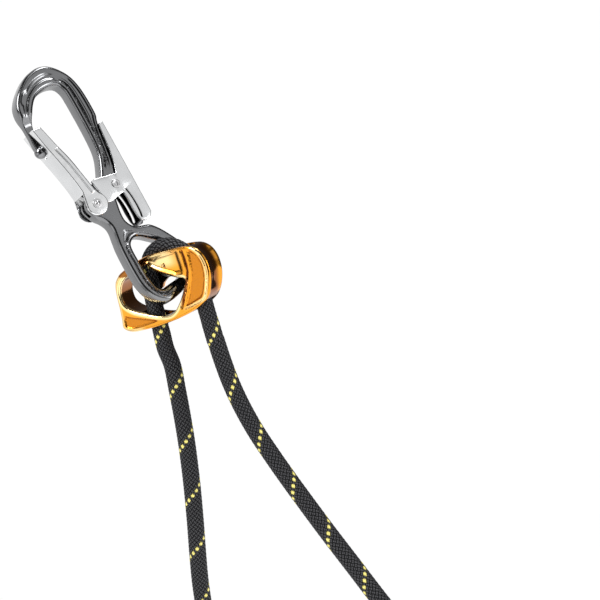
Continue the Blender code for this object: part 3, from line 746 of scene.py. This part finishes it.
for nm, y in (("gate_rib_near", -9.35), ("gate_rib_far", 9.35)):
    line = spline([(-9.9, -71.5), (-12.3, -59.4), (-14.9, -47.2), (-18.0, -37.2)], False, 6)
    rib = [(x - 2.5, z - 0.6) for x, z in line[::-1]] + line
    cut(gate, slab(nm, [resample(rib, 0.8)], 0.6, 0.55, SILVER, at(0, y, 0), steps=4), "UNION")
refine(gate, 0.18, 2, 45)

rivet = [(0, -10.4), (0.8, -10.3), (1.4, -10.0), (1.7, -9.6), (3.0, -9.5), (3.1, -9.3), (1.8, -9.3), (1.8, 9.3),
         (3.1, 9.3), (3.0, 9.5), (1.7, 9.6), (1.4, 10.0), (0.8, 10.3), (0, 10.4)]
gate_rivet = turned("gate_rivet_look", rivet, STEEL, at(px, 0, pz), 40)


def coil(name, centre, mean, wire, turns, span, legs, steps=28):
    pts = []
    start = math.atan2(legs[0][1] - centre[1], legs[0][0] - centre[0]) - math.radians(80)
    n = int(turns * steps)
    for k in range(n + 1):
        t = start - 2 * math.pi * k / steps
        pts.append(Vector(((centre[0] + mean * math.cos(t)) * MM, (-span / 2 + span * k / n) * MM,
                           (centre[1] + mean * math.sin(t)) * MM)))
    first = Vector((legs[0][0] * MM, -span / 2 * MM, legs[0][1] * MM))
    last = Vector((legs[1][0] * MM, span / 2 * MM, legs[1][1] * MM))
    return tube(name, [first] + pts + [last], wire, STEEL, 12)


gate_spring = coil("gate_spring_look", GATE_PIVOT, 2.95, 0.4, 2.0, 2.6, ((-17.2, -73.2), (-9.0, -81.5)))

# --------------------------------------------------------------- lock lever
lx, lz = LEVER_PIVOT
lever_line = ([(18.6, -33.4), (18.6, -45.0), (18.5, -60.0), (18.4, -75.0), (18.3, -90.0), (18.2, -97.5)]
              + [(15.6, -101.0), (11.6, -101.2), (9.2, -100.0)]
              + [(8.2, -97.0), (7.8, -91.0), (8.0, -84.0), (7.6, -79.4), (5.0, -79.8), (-2.0, -81.6), (-5.6, -81.2),
                 (-6.0, -77.0), (-7.6, -70.0), (-8.6, -64.9), (-6.0, -64.2), (2.0, -65.6), (9.6, -66.4),
                 (11.6, -60.0), (13.6, -50.0), (14.8, -38.0), (15.4, -33.8)])
lever = slab("lock_lever_look", [resample(lever_line, 1.1)], 7.5, 0.5, SILVER, steps=3)
cut(lever, block("lever_channel", (-30.0, 17.4), (-6.3, 6.3), (-120.0, -20.0)))
slit = [(9.6, -78.6), (10.4, -83.0), (10.7, -89.0), (10.5, -94.5), (9.9, -98.2),
        (11.4, -98.0), (12.1, -94.0), (12.1, -88.0), (11.6, -82.0), (10.6, -77.6)]
cut(lever, slab("lever_slit", [resample(spline(slit, True, 3), 0.7)], 20.0, 0.02, STEEL, steps=1))
cut(lever, turned("lever_pin_hole", [(0, -12), (1.8, -12), (1.8, 12), (0, 12)], STEEL, at(lx, 0, lz), 32))
cut(lever, turned("lever_tip_hole", [(0, -3), (1.7, -3), (1.7, 3), (0, 3)], STEEL,
                  at(18.0, 0, -38.0) @ Matrix.Rotation(math.radians(90), 4, "Z"), 32))
refine(lever, 0.2, 2, 45)
shade = lever.data.attributes.new("deep", "FLOAT", "POINT")
shade.data.foreach_set("value", [0.95 if abs(v.co.y) < 6.45 * MM and v.co.x < 17.5 * MM else 0.0 for v in lever.data.vertices])
tip_rivet = turned("lever_tip_rivet_look", [(0, -1.2), (1.4, -1.2), (1.4, 0.9), (2.4, 0.9), (2.35, 1.2), (2.0, 1.5),
                                            (1.2, 1.68), (0, 1.75)], STEEL,
                   at(18.0, 0, -38.0) @ Matrix.Rotation(math.radians(-90), 4, "Z"), 32)
lever_rivet = turned("lever_rivet_look", [(0, -7.2), (0.9, -7.3), (1.15, -7.9), (1.5, -8.0), (2.4, -8.0), (2.7, -7.8), (1.5, -7.8),
                                          (1.5, 7.8), (2.7, 7.8), (2.4, 8.0), (1.5, 8.0), (1.15, 7.9), (0.9, 7.3), (0, 7.2)],
                     STEEL, at(lx, 0, lz), 40)
lever_spring = coil("lever_spring_look", LEVER_PIVOT, 2.6, 0.35, 2.0, 2.4, ((13.8, -69.6), (3.4, -76.4)))

# -------------------------------------------------------------- pulley body
body_line = [(-43.6, -25.0), (-42.6, -19.0), (-41.4, -12.0), (-40.6, -6.0), (-39.4, 0.0), (-37.4, 4.6),
             (-33.2, 8.2), (-28.0, 10.2), (-20.0, 12.4), (-12.0, 13.9), (-4.0, 14.4), (4.0, 14.2),
             (12.0, 13.6), (19.0, 12.8), (25.2, 11.0), (29.8, 6.8), (32.0, 0.6), (31.8, -6.4),
             (29.8, -12.8), (26.6, -18.4), (22.4, -22.6), (16.6, -25.4), (8.0, -27.6), (-3.0, -29.2),
             (-16.0, -30.0), (-28.0, -29.8), (-38.0, -28.8)]
front_hole = [(-36.4, -2.0), (-33.0, 2.8), (-28.4, 5.4), (-22.0, 7.2), (-15.4, 8.8), (-11.0, 8.8),
              (-9.4, 5.6), (-4.8, 1.8), (0.6, -1.3), (5.6, -3.7), (9.4, -5.0), (12.0, -6.2), (12.2, -8.0),
              (10.3, -10.6), (6.6, -15.6), (2.2, -20.2), (-2.6, -24.0), (-8.0, -25.2), (-16.0, -23.4),
              (-24.0, -20.0), (-31.6, -16.2), (-36.4, -11.6), (-37.4, -7.0)]
out_loop = resample(spline(body_line, True, 6), 0.8)
hole_loop = resample(spline(front_hole, True, 6), 0.8)
POCKET_LINE = ([(21.4, 9.6), (25.0, 7.6), (28.2, 1.0), (27.6, -6.8), (24.6, -14.2), (20.6, -19.9), (14.2, -21.9),
                 (7.2, -23.0), (9.6, -19.0), (15.2, -10.4), (19.0, -1.5)])
pocket = region(POCKET_LINE, 6, 0.2)
TRIANGLE_LINE = ([(-39.2, -17.6), (-36.0, -19.0), (-28.0, -22.0), (-16.6, -26.2), (-22.0, -27.3), (-33.0, -27.4),
                   (-40.6, -25.2), (-40.8, -21.0)])
triangle = region(TRIANGLE_LINE, 6, 0.2)
groove_line = spline([(17.2, 11.6), (17.4, 8.0), (17.4, 4.0), (16.4, -2.4), (12.8, -9.6), (7.6, -17.2),
                      (3.4, -23.6)], False, 8)
groove_gap = gap_to(groove_line, False)
rim_path = spline([(24.6, 10.8), (28.0, 6.8), (29.9, 0.2), (29.0, -7.6), (25.7, -15.4), (21.6, -21.3),
                   (14.0, -23.3), (5.6, -24.5)], False, 8)
rim_line = gap_to(rim_path, False)
pocket_loop = resample(spline(POCKET_LINE, True, 6), 0.5)
triangle_loop = resample(spline(TRIANGLE_LINE, True, 6), 0.5)
creases = (contours(groove_line, (-1.25, -0.75, -0.25, 0.25, 0.75, 1.25), False)
           + contours(rim_path, (-0.5, -0.12, 0.12, 0.5), False)
           + contours(pocket_loop, (-0.1, 0.3, 0.7, 1.1), True) + contours(triangle_loop, (0.0, 0.35, 0.7, 1.0), True))
to_hole, to_edge = gap_to(hole_loop), gap_to(out_loop)
band = region([(-33.0, 8.0), (-22.0, 11.2), (-10.0, 13.4), (2.0, 13.8), (14.0, 13.4), (15.2, 6.0), (14.2, -3.0),
               (9.0, -4.0), (5.0, -2.8), (-4.0, 2.3), (-9.0, 6.4), (-12.0, 9.6), (-20.0, 8.2), (-28.0, 6.2)])


def body_relief(x, z, side):
    if side > 0:
        return 0.0
    k = 0.0
    k -= 1.15 * (1 - smooth(-1.1, 0.1, pocket(x, z)))
    k -= 0.9 * (1 - smooth(-1.0, 0.0, triangle(x, z)))
    ends = smooth(12.6, 9.6, z) * smooth(-25.0, -20.0, z)
    k -= 1.25 * (1 - smooth(0.25, 1.25, groove_gap(x, z))) * ends
    k -= 0.45 * (1 - smooth(0.12, 0.5, rim_line(x, z))) * smooth(-26.0, -22.0, z)
    b = band(x, z)
    if b < 0:
        k -= 1.15 * smooth(0.0, 4.6, -b)
    return k


def body_edge(x, z):
    """Rounding is wider along the lower edge of the top band."""
    if -13.0 < x < 8.0 and -4.5 < z < 9.6:
        return 1.5 + 1.0 * smooth(-13, -8, x) * (1 - smooth(3, 8, x))
    return 1.5


def body_waist(x, z):
    return 1.9 * smooth(25.5, 30.0, x)


pulley = carved("pulley_frame_look", [out_loop, hole_loop], CHEEK_OUT, body_edge, GOLD, None, body_relief,
                steps=6, grid=0.65, waist=body_waist, walls=8, creases=creases)
channel = [(-23.6, 40.0), (-23.6, 2.0), (-26.5, -14.0), (-30.6, -40.0), (-9.5, -40.0), (-9.5, -20.0),
           (8.8, -20.0), (8.8, -40.0), (21.6, -40.0), (22.6, -10.0), (22.6, 40.0)]
cut(pulley, slab("rope_channel", [channel], CHEEK_IN, 0.02, STEEL, steps=1))
web = [(-25.0, -13.0), (-25.0, 8.6), (-18.0, 10.6), (-10.0, 11.4), (-4.0, 7.0), (4.0, 3.4), (16.0, 3.0),
       (16.4, -8.0), (-4.0, -13.0)]
cut(pulley, slab("rear_web", [resample(web, 2.0)], 1.2, 0.02, GOLD, at(0, 7.08, 0), steps=1), "UNION")
rear = [(-31.0, -3.0), (-26.0, -6.5), (-20.0, -9.0), (-14.4, -8.6), (-11.8, -5.6), (-6.0, -2.6), (-1.0, -0.4), (8.0, 0.4),
        (15.0, -0.6), (17.5, -6.0), (15.0, -12.5), (8.0, -18.0), (-4.0, -20.5), (-20.0, -18.6), (-31.0, -13.0)]
cut(pulley, slab("rear_opening", [resample(spline(rear, True, 6), 1.4)], 3.0, 0.02, STEEL,
                 at(0, CHEEK_IN + 2.4, 0), steps=1))
sa, sc = SHEAVE
cut(pulley, turned("axle_bore", [(0, -7.1), (2.55, -7.1), (2.55, 7.0), (3.5, 7.0), (3.5, 12), (0, 12)],
                   STEEL, at(sa, 0, sc), 40))
nub = slab("nub", [resample(spline([(-0.9, -1.5), (0.6, -1.7), (1.0, 0.4), (0.5, 1.9), (-0.6, 2.0), (-0.9, 0.4)], True, 4),
                            0.5)], 0.9, 0.7, GOLD, at(sa - 0.8, -CHEEK_OUT + 0.95, sc + 0.6), steps=4)
cut(pulley, nub, "UNION")
refine(pulley, 0.0, sharp=34)


def tone_body(me):
    """Per-point tone values: painted highlight along the rims, the deeper tone of the recesses, and painted shade in
    the lines beside them and on the inner walls.
    """
    values = {"painted_highlight": [], "recess": [], "deep": []}
    for v in me.vertices:
        x, y, z = v.co.x / MM, v.co.y / MM, v.co.z / MM
        painted_highlight = recess = deep = 0.0
        if y < -5.9:
            # Painted highlight: pale along the opening's rim, the rim line, the left outer edge and the top band.
            h = to_hole(x, z)
            painted_highlight = 1 - smooth(1.6, 2.9, h)
            painted_highlight = max(painted_highlight, 0.8 * (1 - smooth(0.5, 1.4, abs(rim_line(x, z)))) * smooth(-26.0, -22.0, z) * smooth(0.0, 8.0, x))
            painted_highlight = max(painted_highlight, 0.7 * (1 - smooth(1.2, 2.6, to_edge(x, z))) * (1 - smooth(-32.0, -26.0, x)))
            b = band(x, z)
            if b < 0 and z > -3:
                painted_highlight = max(painted_highlight * 0.3, 0.8 * smooth(-2.0, 3.5, z - 4.0 + 0.10 * x) * smooth(-22.0, -12.0, x)
                          * (1 - 0.8 * smooth(4.0, 12.0, x)))
            inner = pocket(x, z)
            recess = max(1 - smooth(-0.9, -0.1, inner), 1 - smooth(-0.8, 0.0, triangle(x, z)))
            # Painted shade and dark reflection: dark lines in the groove, around the lower pocket and at the left end
            # of the top band.
            ends = smooth(12.6, 9.6, z) * smooth(-25.0, -20.0, z)
            deep = 0.95 * (1 - smooth(0.5, 1.1, groove_gap(x, z))) * ends
            deep = max(deep, 0.5 * (1 - smooth(0.0, 0.5, abs(triangle(x, z) + 0.45))))
            if b < 0.5:
                deep = max(deep, 0.75 * (1 - smooth(-10.5, -6.5, x)))
            painted_highlight *= (1 - recess) * (1 - deep)
        else:
            # Painted shade on the channel walls between the cheeks, none on the rear face.
            deep = 0.85
            if x > 25 and math.hypot(x - 20, z + 4) > 9.5 and to_edge(x, z) < 2.4:
                deep = 0.9 * (1 - smooth(2.0, 6.0, y))
            elif y > 7.3 or (x < 22 and to_edge(x, z) < 0.9):
                deep = 0.0
        values["painted_highlight"].append(painted_highlight)
        values["recess"].append(recess)
        values["deep"].append(deep)
    for name, vals in values.items():
        a = me.attributes.new(name, "FLOAT", "POINT")
        a.data.foreach_set("value", vals)


tone_body(pulley.data)
pulley.data.transform(PULLEY)

# ------------------------------------------------------ sheave and its axle
W = CHEEK_IN - 0.9
axle = turned("sheave_axle_look", [(0, -6.9), (1.9, -6.9), (2.25, -6.6), (2.25, 7.3), (3.2, 7.3), (3.2, 7.9), (2.9, 8.2),
                                   (0, 8.2)], STEEL, PULLEY @ at(sa, 0, sc), 40)
bushing = turned("sheave_bushing_look", [(2.55, -W), (3.3, -W), (3.3, W), (2.55, W)], BRONZE,
                 PULLEY @ at(sa, 0, sc), 40, True)
tread = [(7.1, -W), (7.3, -W + 0.2), (7.2, -4.2), (6.55, -3.2), (6.1, -2.0), (5.85, -1.0), (5.8, 0), (5.85, 1.0),
         (6.1, 2.0), (6.55, 3.2), (7.2, 4.2), (7.3, W - 0.2), (7.1, W)]
sheave = turned("sheave_look", [(3.6, W), (3.6, -W)] + tread, DARK, PULLEY @ at(sa, 0, sc), 56, True)
washers = []
for nm, y in (("washer_front", -1), ("washer_rear", 1)):
    y0, y1 = sorted((y * (W + 0.15), y * (CHEEK_IN - 0.15)))
    washers.append(turned(nm + "_look", [(2.55, y0), (4.5, y0), (4.6, y0 + 0.1), (4.6, y1 - 0.1), (4.5, y1), (2.55, y1)],
                          BRONZE, PULLEY @ at(sa, 0, sc), 40, True))

# ---------------------------------------------------------------------- rope
bend = [(BEND_R * math.cos(math.radians(t)), BEND_R * math.sin(math.radians(t)))
        for t in range(176, 0, -22)]
path = ([(-22.7, -37.0), (-21.6, -28.0), (-20.4, -17.0), (-19.0, -9.0)] + bend
        + [(16.4, -8.0), (15.8, -20.0), (14.9, -31.0), (14.3, -40.0)])
LEFT = [(-33.9, -189.0), (-39.7, -203.9), (-46.8, -221.5), (-55.1, -240.3), (-66.0, -262.5), (-77.6, -284.3),
        (-89.0, -304.8), (-99.2, -324.2), (-107.0, -343.0), (-112.0, -364.0), (-113.8, -386.0),
        (-113.0, -408.0), (-110.5, -430.0), (-107.5, -452.0), (-105.0, -474.0), (-103.5, -496.0)]
RIGHT = [(4.2, -188.4), (1.2, -201.7), (-1.4, -216.5), (-2.7, -232.6), (-2.6, -249.5), (-1.0, -266.3),
         (1.2, -284.0), (3.8, -301.5), (7.6, -325.3), (12.4, -352.0), (17.5, -380.2), (23.0, -405.0),
         (28.5, -430.0), (33.0, -455.0), (36.0, -480.0)]


def width(u, z):
    return Vector(((CENTRE[0] + u * math.cos(YAW)) * MM, (CENTRE[1] + u * math.sin(YAW)) * MM, z * MM))


def leg(start, before, rest, per):
    away = (start - before).normalized()
    pts = [start + away * 0.3 * MM, start + away * 9 * MM] + [width(*p) for p in rest]
    return [Vector(p) for p in spline([tuple(p) for p in pts], False, per)]


wrap = [world(p[0], 0, p[1]) for p in spline(path, False, 2)]
left = leg(wrap[0], wrap[1], LEFT, 3)
right = leg(wrap[-1], wrap[-2], RIGHT, 3)
fine_wrap = [world(p[0], 0, p[1]) for p in spline(path, False, 12)]
fine_left = leg(wrap[0], wrap[1], LEFT, 14)
fine_right = leg(wrap[-1], wrap[-2], RIGHT, 14)


def run_of(points):
    s = [0.0]
    for a, b in zip(points, points[1:]):
        s.append(s[-1] + (b - a).length / MM)
    return s


whole = fine_left[::-1] + fine_wrap + fine_right
along = run_of(whole)
CUT1 = along[len(fine_left) - 1]
WRAP0 = along[len(fine_left)]
WRAP1 = along[len(fine_left) + len(fine_wrap) - 1]
CUT2 = along[len(fine_left) + len(fine_wrap)]
TOTAL = along[-1]

YARNS, PITCH = 12, 36.5
SIDES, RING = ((96, 0.5))


def weave(theta, s, phase, pitch=PITCH, yarns=YARNS):
    """Height (mm), crown and tracer of the braid at an angle and a length."""
    t, p = theta / (2 * math.pi), s / pitch + phase
    u, v = yarns * (p - t), yarns * (t + p)
    i, j = math.floor(u), math.floor(v)
    over = (i + j) % 2 == 0
    across, length = (u - i, v - j) if over else (v - j, u - i)
    ends = abs(math.sin(2 * math.pi * across)) ** 0.6
    arch = math.sin(math.pi * min(max(length, 0.0), 1.0)) ** 0.7
    crown = (0.18 + 0.82 * arch) * (0.35 + 0.65 * ends)
    tracer = 1.0 if over and i % yarns == 0 else 0.0
    if tracer:
        crown = max(crown, 0.5 + 0.5 * arch)
    return 0.5 * crown, crown, tracer


def locate(points, run, s, hint):
    i = hint
    while i < len(run) - 2 and run[i + 1] < s:
        i += 1
    t = (s - run[i]) / max(run[i + 1] - run[i], 1e-9)
    return points[i].lerp(points[i + 1], min(max(t, 0.0), 1.0)), i


def skin(name, rings, data, material, closed=False, matrix=None):
    """Tube mesh through rings of points, with its crown and tracer values."""
    n = len(rings[0])
    verts = [p for ring in rings for p in ring]
    faces = []
    m = len(rings)
    for a in range(m if closed else m - 1):
        b = (a + 1) % m
        for k in range(n):
            j = (k + 1) % n
            faces.append((a * n + k, a * n + j, b * n + j, b * n + k))
    crown = [c for ring in data for c in ring]
    if not closed:
        for ring, end in ((0, 0), (m - 1, 1)):
            loop = [ring * n + k for k in range(n)]
            faces.append(tuple(loop if end else loop[::-1]))
    me = bpy.data.meshes.new(name)
    me.from_pydata([tuple(v) for v in verts], [], faces)
    for nm, idx in (("crown", 0), ("tracer", 1)):
        attr = me.attributes.new(nm, "FLOAT", "POINT")
        attr.data.foreach_set("value", [c[idx] for c in crown])
    if matrix is not None:
        me.transform(matrix)
    bm = bmesh.new()
    bm.from_mesh(me)
    bmesh.ops.recalc_face_normals(bm, faces=bm.faces)
    bm.to_mesh(me)
    bm.free()
    me.shade_smooth()
    if not closed:
        for face in me.polygons[-2:]:
            face.use_smooth = False
    me.materials.append(material)
    ob = bpy.data.objects.new(name, me)
    bpy.context.collection.objects.link(ob)
    return ob


PHASE_LEFT, PHASE_RIGHT = 0.48, -0.27


def rope_pieces():
    spans = [("rope_tail_left_look", 0.0, CUT1), ("rope_wrap_look", CUT1 + 0.03, CUT2 - 0.03), ("rope_tail_right_look", CUT2, TOTAL)]
    hint, ref, made = 0, None, []
    for name, s0, s1 in spans:
        count = int(round((s1 - s0) / RING))
        rings, data = [], []
        for q in range(count + 1):
            s = s0 + (s1 - s0) * q / count
            p, hint = locate(whole, along, s, hint)
            a, _ = locate(whole, along, max(s - 1.2, 0.0), 0 if hint < 40 else hint - 40)
            b, _ = locate(whole, along, min(s + 1.2, TOTAL), hint)
            t = (b - a).normalized()
            if ref is None:
                ref = VIEW_BACK.copy()
            ref = (ref - t * ref.dot(t)).normalized()
            side = t.cross(ref)
            blend = smooth(WRAP0 + 10, WRAP1 - 10, s)
            phase = PHASE_LEFT * (1 - blend) + PHASE_RIGHT * blend
            pull = 0.18 * smooth(WRAP0, WRAP0 + 6, s) * smooth(WRAP1, WRAP1 - 6, s)
            ring, row = [], []
            for k in range(SIDES):
                th = 2 * math.pi * k / SIDES
                h, crown, tracer = weave(th, s, phase)
                r = (ROPE_D / 2 - 0.34 - pull + h) * MM
                ring.append(p + r * (ref * math.cos(th) + side * math.sin(th)))
                row.append((crown, tracer))
            rings.append(ring)
            data.append(row)
        made.append(skin(name, rings, data, ROPE))
    return made


tail_left, rope_wrap, tail_right = rope_pieces()


def end_matrix(line):
    tip, prev = line[-1], line[-2]
    z = (prev - tip).normalized()
    x = Vector((math.cos(YAW), math.sin(YAW), 0))
    x = (x - z * x.dot(z)).normalized()
    m = Matrix((x, z.cross(x), z)).transposed().to_4x4()
    m.translation = tip
    return m


UP = Matrix.Rotation(math.radians(90), 4, "X")
stop, eye_end = end_matrix(left), end_matrix(right)


def sleeve(name, profile, matrix, ribs, amount):
    """Shrunk sleeve: its outline plus shallow ribs where the stitching lies below."""
    fine = []
    for (r0, y0), (r1, y1) in zip(profile, profile[1:]):
        n = max(1, int(math.hypot(r1 - r0, y1 - y0) / 0.5))
        for k in range(n):
            y = y0 + (y1 - y0) * k / n
            r = r0 + (r1 - r0) * k / n
            inner = smooth(profile[1][1] - 3, profile[1][1] - 8, y) * smooth(profile[-3][1] + 2, profile[-3][1] + 7, y)
            if r > 3.0:
                r += amount * inner * (0.5 + 0.5 * math.cos(2 * math.pi * y / ribs)) - amount * 0.6 * inner
            fine.append((r, y))
    fine.append(profile[-1])
    return turned(name, fine, SLEEVE, matrix @ UP, 48)


left_sleeve = sleeve("left_end_sleeve_look", [(0, -0.3), (5.3, -0.3), (5.6, -0.6), (6.4, -2.2), (7.0, -4.4), (7.2, -10.0),
                                              (7.2, -38.0), (7.0, -41.0), (6.4, -43.6), (5.2, -45.3), (3.8, -46.1),
                                              (0, -46.4)], stop, 4.2, 0.28)
right_sleeve = sleeve("right_eye_sleeve_look", [(0, -0.3), (5.5, -0.3), (5.8, -0.6), (7.2, -3.4), (8.4, -6.6), (9.3, -15.0),
                                                (9.7, -28.0), (9.75, -43.5), (9.2, -46.4), (8.0, -48.6), (6.0, -49.4),
                                                (0, -49.6)], eye_end, 4.8, 0.35)


def oval(a, b0, c0, steps):
    return [(a * math.sin(2 * math.pi * k / steps), c0 + b0 * math.cos(2 * math.pi * k / steps)) for k in range(steps)]


def even_ring(loop, step):
    return resample(loop, step)


def braided_ring(name, loop, radius, matrix, sides=72, step=0.6):
    pts = even_ring(loop, step)
    n = len(pts)
    total = sum(math.dist(pts[i - 1], pts[i]) for i in range(n))
    pitch = total / round(total / PITCH)
    rings, data = [], []
    for i in range(n):
        (x0, z0), (x, z), (x1, z1) = pts[i - 1], pts[i], pts[(i + 1) % n]
        t = Vector((x1 - x0, 0, z1 - z0)).normalized()
        side = Vector((t.z, 0, -t.x))
        s = total * i / n
        ring, row = [], []
        for k in range(sides):
            th = 2 * math.pi * k / sides
            h, crown, tracer = weave(th, s, 0.2, pitch)
            r = radius - 0.34 + h
            ring.append((Vector((x, 0, z)) + r * (side * math.cos(th) + Vector((0, 1, 0)) * math.sin(th))) * MM)
            row.append((crown, tracer))
        rings.append(ring)
        data.append(row)
    return skin(name, rings, data, ROPE, True, matrix)


EYE_TOP = -49.9
right_eye = braided_ring("right_eye_look", oval(16.5, 25.0, EYE_TOP - 30.5, 280), ROPE_D / 2, eye_end)


def ring_tube(name, loop, radius, material, matrix, sides=20):
    bm = bmesh.new()
    n = len(loop)
    rings = []
    for i in range(n):
        (x0, z0), (x, z), (x1, z1) = loop[i - 1], loop[i], loop[(i + 1) % n]
        t = Vector((x1 - x0, 0, z1 - z0)).normalized()
        side = Vector((t.z, 0, -t.x))
        rings.append([bm.verts.new((Vector((x, 0, z)) + radius * (side * math.cos(2 * math.pi * k / sides)
                      + Vector((0, 1, 0)) * math.sin(2 * math.pi * k / sides))) * MM) for k in range(sides)])
    for i in range(n):
        lo, hi = rings[i], rings[(i + 1) % n]
        for k in range(sides):
            j = (k + 1) % sides
            bm.faces.new((lo[k], lo[j], hi[j], hi[k]))
    return add(name, bm, material, matrix)


thimble = ring_tube("right_thimble_look", oval(9.2, 17.7, EYE_TOP - 30.5, 96), 1.4, STEEL, eye_end)

# ------------------------------------------------------------- into the row
LOOKS = [(hook, "hook_frame", "anodised_grey"), (gate, "gate", "plated_steel"), (gate_rivet, "gate_rivet", "stainless_steel"),
         (gate_spring, "gate_spring", "stainless_steel"), (lever, "lock_lever", "plated_steel"),
         (lever_rivet, "lever_rivet", "stainless_steel"), (lever_spring, "lever_spring", "stainless_steel"),
         (tip_rivet, "lever_tip_rivet", "stainless_steel"), (pulley, "pulley_frame", "anodised_gold"),
         (sheave, "sheave", "stainless_steel"), (axle, "sheave_axle", "stainless_steel"),
         (bushing, "sheave_bushing", "bronze"), (washers[0], "washer_front", "bronze"), (washers[1], "washer_rear", "bronze"),
         (rope_wrap, "rope_wrap", "rope"), (tail_left, "rope_tail_left", "rope"), (tail_right, "rope_tail_right", "rope"),
         (left_sleeve, "left_end_sleeve", "sleeve"), (right_sleeve, "right_eye_sleeve", "sleeve"),
         (right_eye, "right_eye", "rope"), (thimble, "right_thimble", "stainless_steel")]
for ob, node, slot in LOOKS:
    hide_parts(node)
    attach(ob, body_of(frame["nodes"][node])[0])


def length_of(points):
    return sum((b - a).length for a, b in zip(points, points[1:]))


print("ROPE mm: left %.1f wrap %.1f right %.1f" % (1000 * length_of(fine_left), 1000 * length_of(fine_wrap),
                                                   1000 * length_of(fine_right)))

# --------------------------------------------------------------------- stage
bm = bmesh.new()
bmesh.ops.create_circle(bm, cap_ends=True, radius=0.95, segments=96)
for v in bm.verts:
    v.co += Vector((0.0, 0.0, -0.62))
pale = Nodes("pale_paper")
pale.link(pale.mix(pale.noise(3.0, 2.0), (0.93, 0.93, 0.93), (0.95, 0.95, 0.95)), pale.p.inputs["Base Color"])
pale.p.inputs["Roughness"].default_value = 0.95
pale.p.inputs["Specular IOR Level"].default_value = 0.1
pale.p.inputs["Emission Color"].default_value = (1.0, 1.0, 1.0, 1.0)
pale.p.inputs["Emission Strength"].default_value = 0.45
floor = add("floor", bm, pale.m)


def area_light(name, direction, distance, size, power, colour=(1, 1, 1), size_y=None):
    """Soft light placed in camera directions (right, up, back) and aimed at the object."""
    data = bpy.data.lights.new(name, "AREA")
    data.shape, data.size, data.size_y = "RECTANGLE", size, size_y or size
    data.energy, data.color = power, colour
    ob = bpy.data.objects.new(name, data)
    bpy.context.collection.objects.link(ob)
    d = (RIGHT_AXIS * direction[0] + UP_AXIS * direction[1] + VIEW_BACK * direction[2]).normalized()
    ob.location = aim + d * distance
    ob.rotation_euler = d.to_track_quat("Z", "Y").to_euler()
    return ob


area_light("key", (-0.75, 0.55, 0.6), 1.5, 0.5, 14.0, size_y=0.9)
area_light("fill", (0.9, 0.1, 0.5), 1.6, 0.4, 8.0, size_y=1.0)
area_light("side", (-0.757, -0.42, 0.5), 1.2, 0.9, 1.1, size_y=0.8)
area_light("top", (0.1, 1.0, 0.1), 1.5, 0.7, 8.0, size_y=0.3)

# The sky is white with a few dark bands behind the camera, for the metal to reflect.
sky = bpy.data.worlds.new("studio")
scene.world = sky
sky.use_nodes = True
nt = sky.node_tree
bg = nt.nodes["Background"]
coord = nt.nodes.new("ShaderNodeTexCoord")


def along_axis(axis):
    dot = nt.nodes.new("ShaderNodeVectorMath")
    dot.operation = "DOT_PRODUCT"
    nt.links.new(coord.outputs["Generated"], dot.inputs[0])
    dot.inputs[1].default_value = tuple(axis)
    return dot.outputs["Value"]


def sky_ramp(value, stops):
    scale = nt.nodes.new("ShaderNodeMapRange")
    scale.inputs["From Min"].default_value = -1.0
    nt.links.new(value, scale.inputs["Value"])
    ramp = nt.nodes.new("ShaderNodeValToRGB")
    el = ramp.color_ramp.elements
    while len(el) < len(stops):
        el.new(0.5)
    for e, (pos, val) in zip(el, stops):
        e.position = (pos + 1) / 2
        e.color = (val, val, val, 1)
    nt.links.new(scale.outputs[0], ramp.inputs[0])
    return ramp.outputs[0]


def times(a, b):
    node = nt.nodes.new("ShaderNodeMix")
    node.data_type = "RGBA"
    node.blend_type = "MULTIPLY"
    node.inputs[0].default_value = 1.0
    nt.links.new(a, node.inputs[6])
    nt.links.new(b, node.inputs[7])
    return node.outputs[2]


level = along_axis(VIEW_R)
height = along_axis(Vector((0, 0, 1)))
facing = along_axis(Vector((0.97, 0.24, 0.0)))
strip = sky_ramp(level, [(-1.0, 0.75), (-0.93, 1.0), (-0.64, 1.0), (-0.56, 0.35), (-0.50, 0.80), (-0.44, 0.85), (-0.38, 0.02),
                         (0.34, 0.02), (0.42, 0.95), (0.62, 0.88), (0.90, 0.88), (1.0, 0.85)])
tiers = sky_ramp(height, [(-1.0, 0.10), (-0.78, 0.10), (-0.70, 0.85), (-0.46, 0.85), (-0.40, 0.30), (-0.24, 0.35),
                          (-0.16, 1.0), (0.30, 1.0), (0.38, 0.15), (0.52, 0.12), (0.58, 1.0), (1.0, 1.0)])
behind = sky_ramp(facing, [(-1.0, 1.0), (0.60, 1.0), (0.72, 0.10), (1.0, 0.07)])
side_on = sky_ramp(along_axis(VIEW_BACK), [(-1.0, 0.0), (-0.20, 0.0), (0.0, 1.0), (1.0, 1.0)])
both = nt.nodes.new("ShaderNodeMix")
both.data_type = "RGBA"
nt.links.new(side_on, both.inputs[0])
both.inputs[6].default_value = (1.0, 1.0, 1.0, 1.0)
nt.links.new(times(strip, tiers), both.inputs[7])
banded = times(both.outputs[2], behind)
rays = nt.nodes.new("ShaderNodeLightPath")
pick = nt.nodes.new("ShaderNodeMix")
pick.data_type = "RGBA"
nt.links.new(rays.outputs["Is Camera Ray"], pick.inputs[0])
nt.links.new(banded, pick.inputs[6])
pick.inputs[7].default_value = (1.07, 1.07, 1.07, 1.0)
nt.links.new(pick.outputs[2], bg.inputs["Color"])
bg.inputs["Strength"].default_value = 0.95

scene.view_settings.view_transform = "Standard"
scene.view_settings.look = "None"
scene.view_settings.exposure = 0.0

bpy.context.view_layer.update()
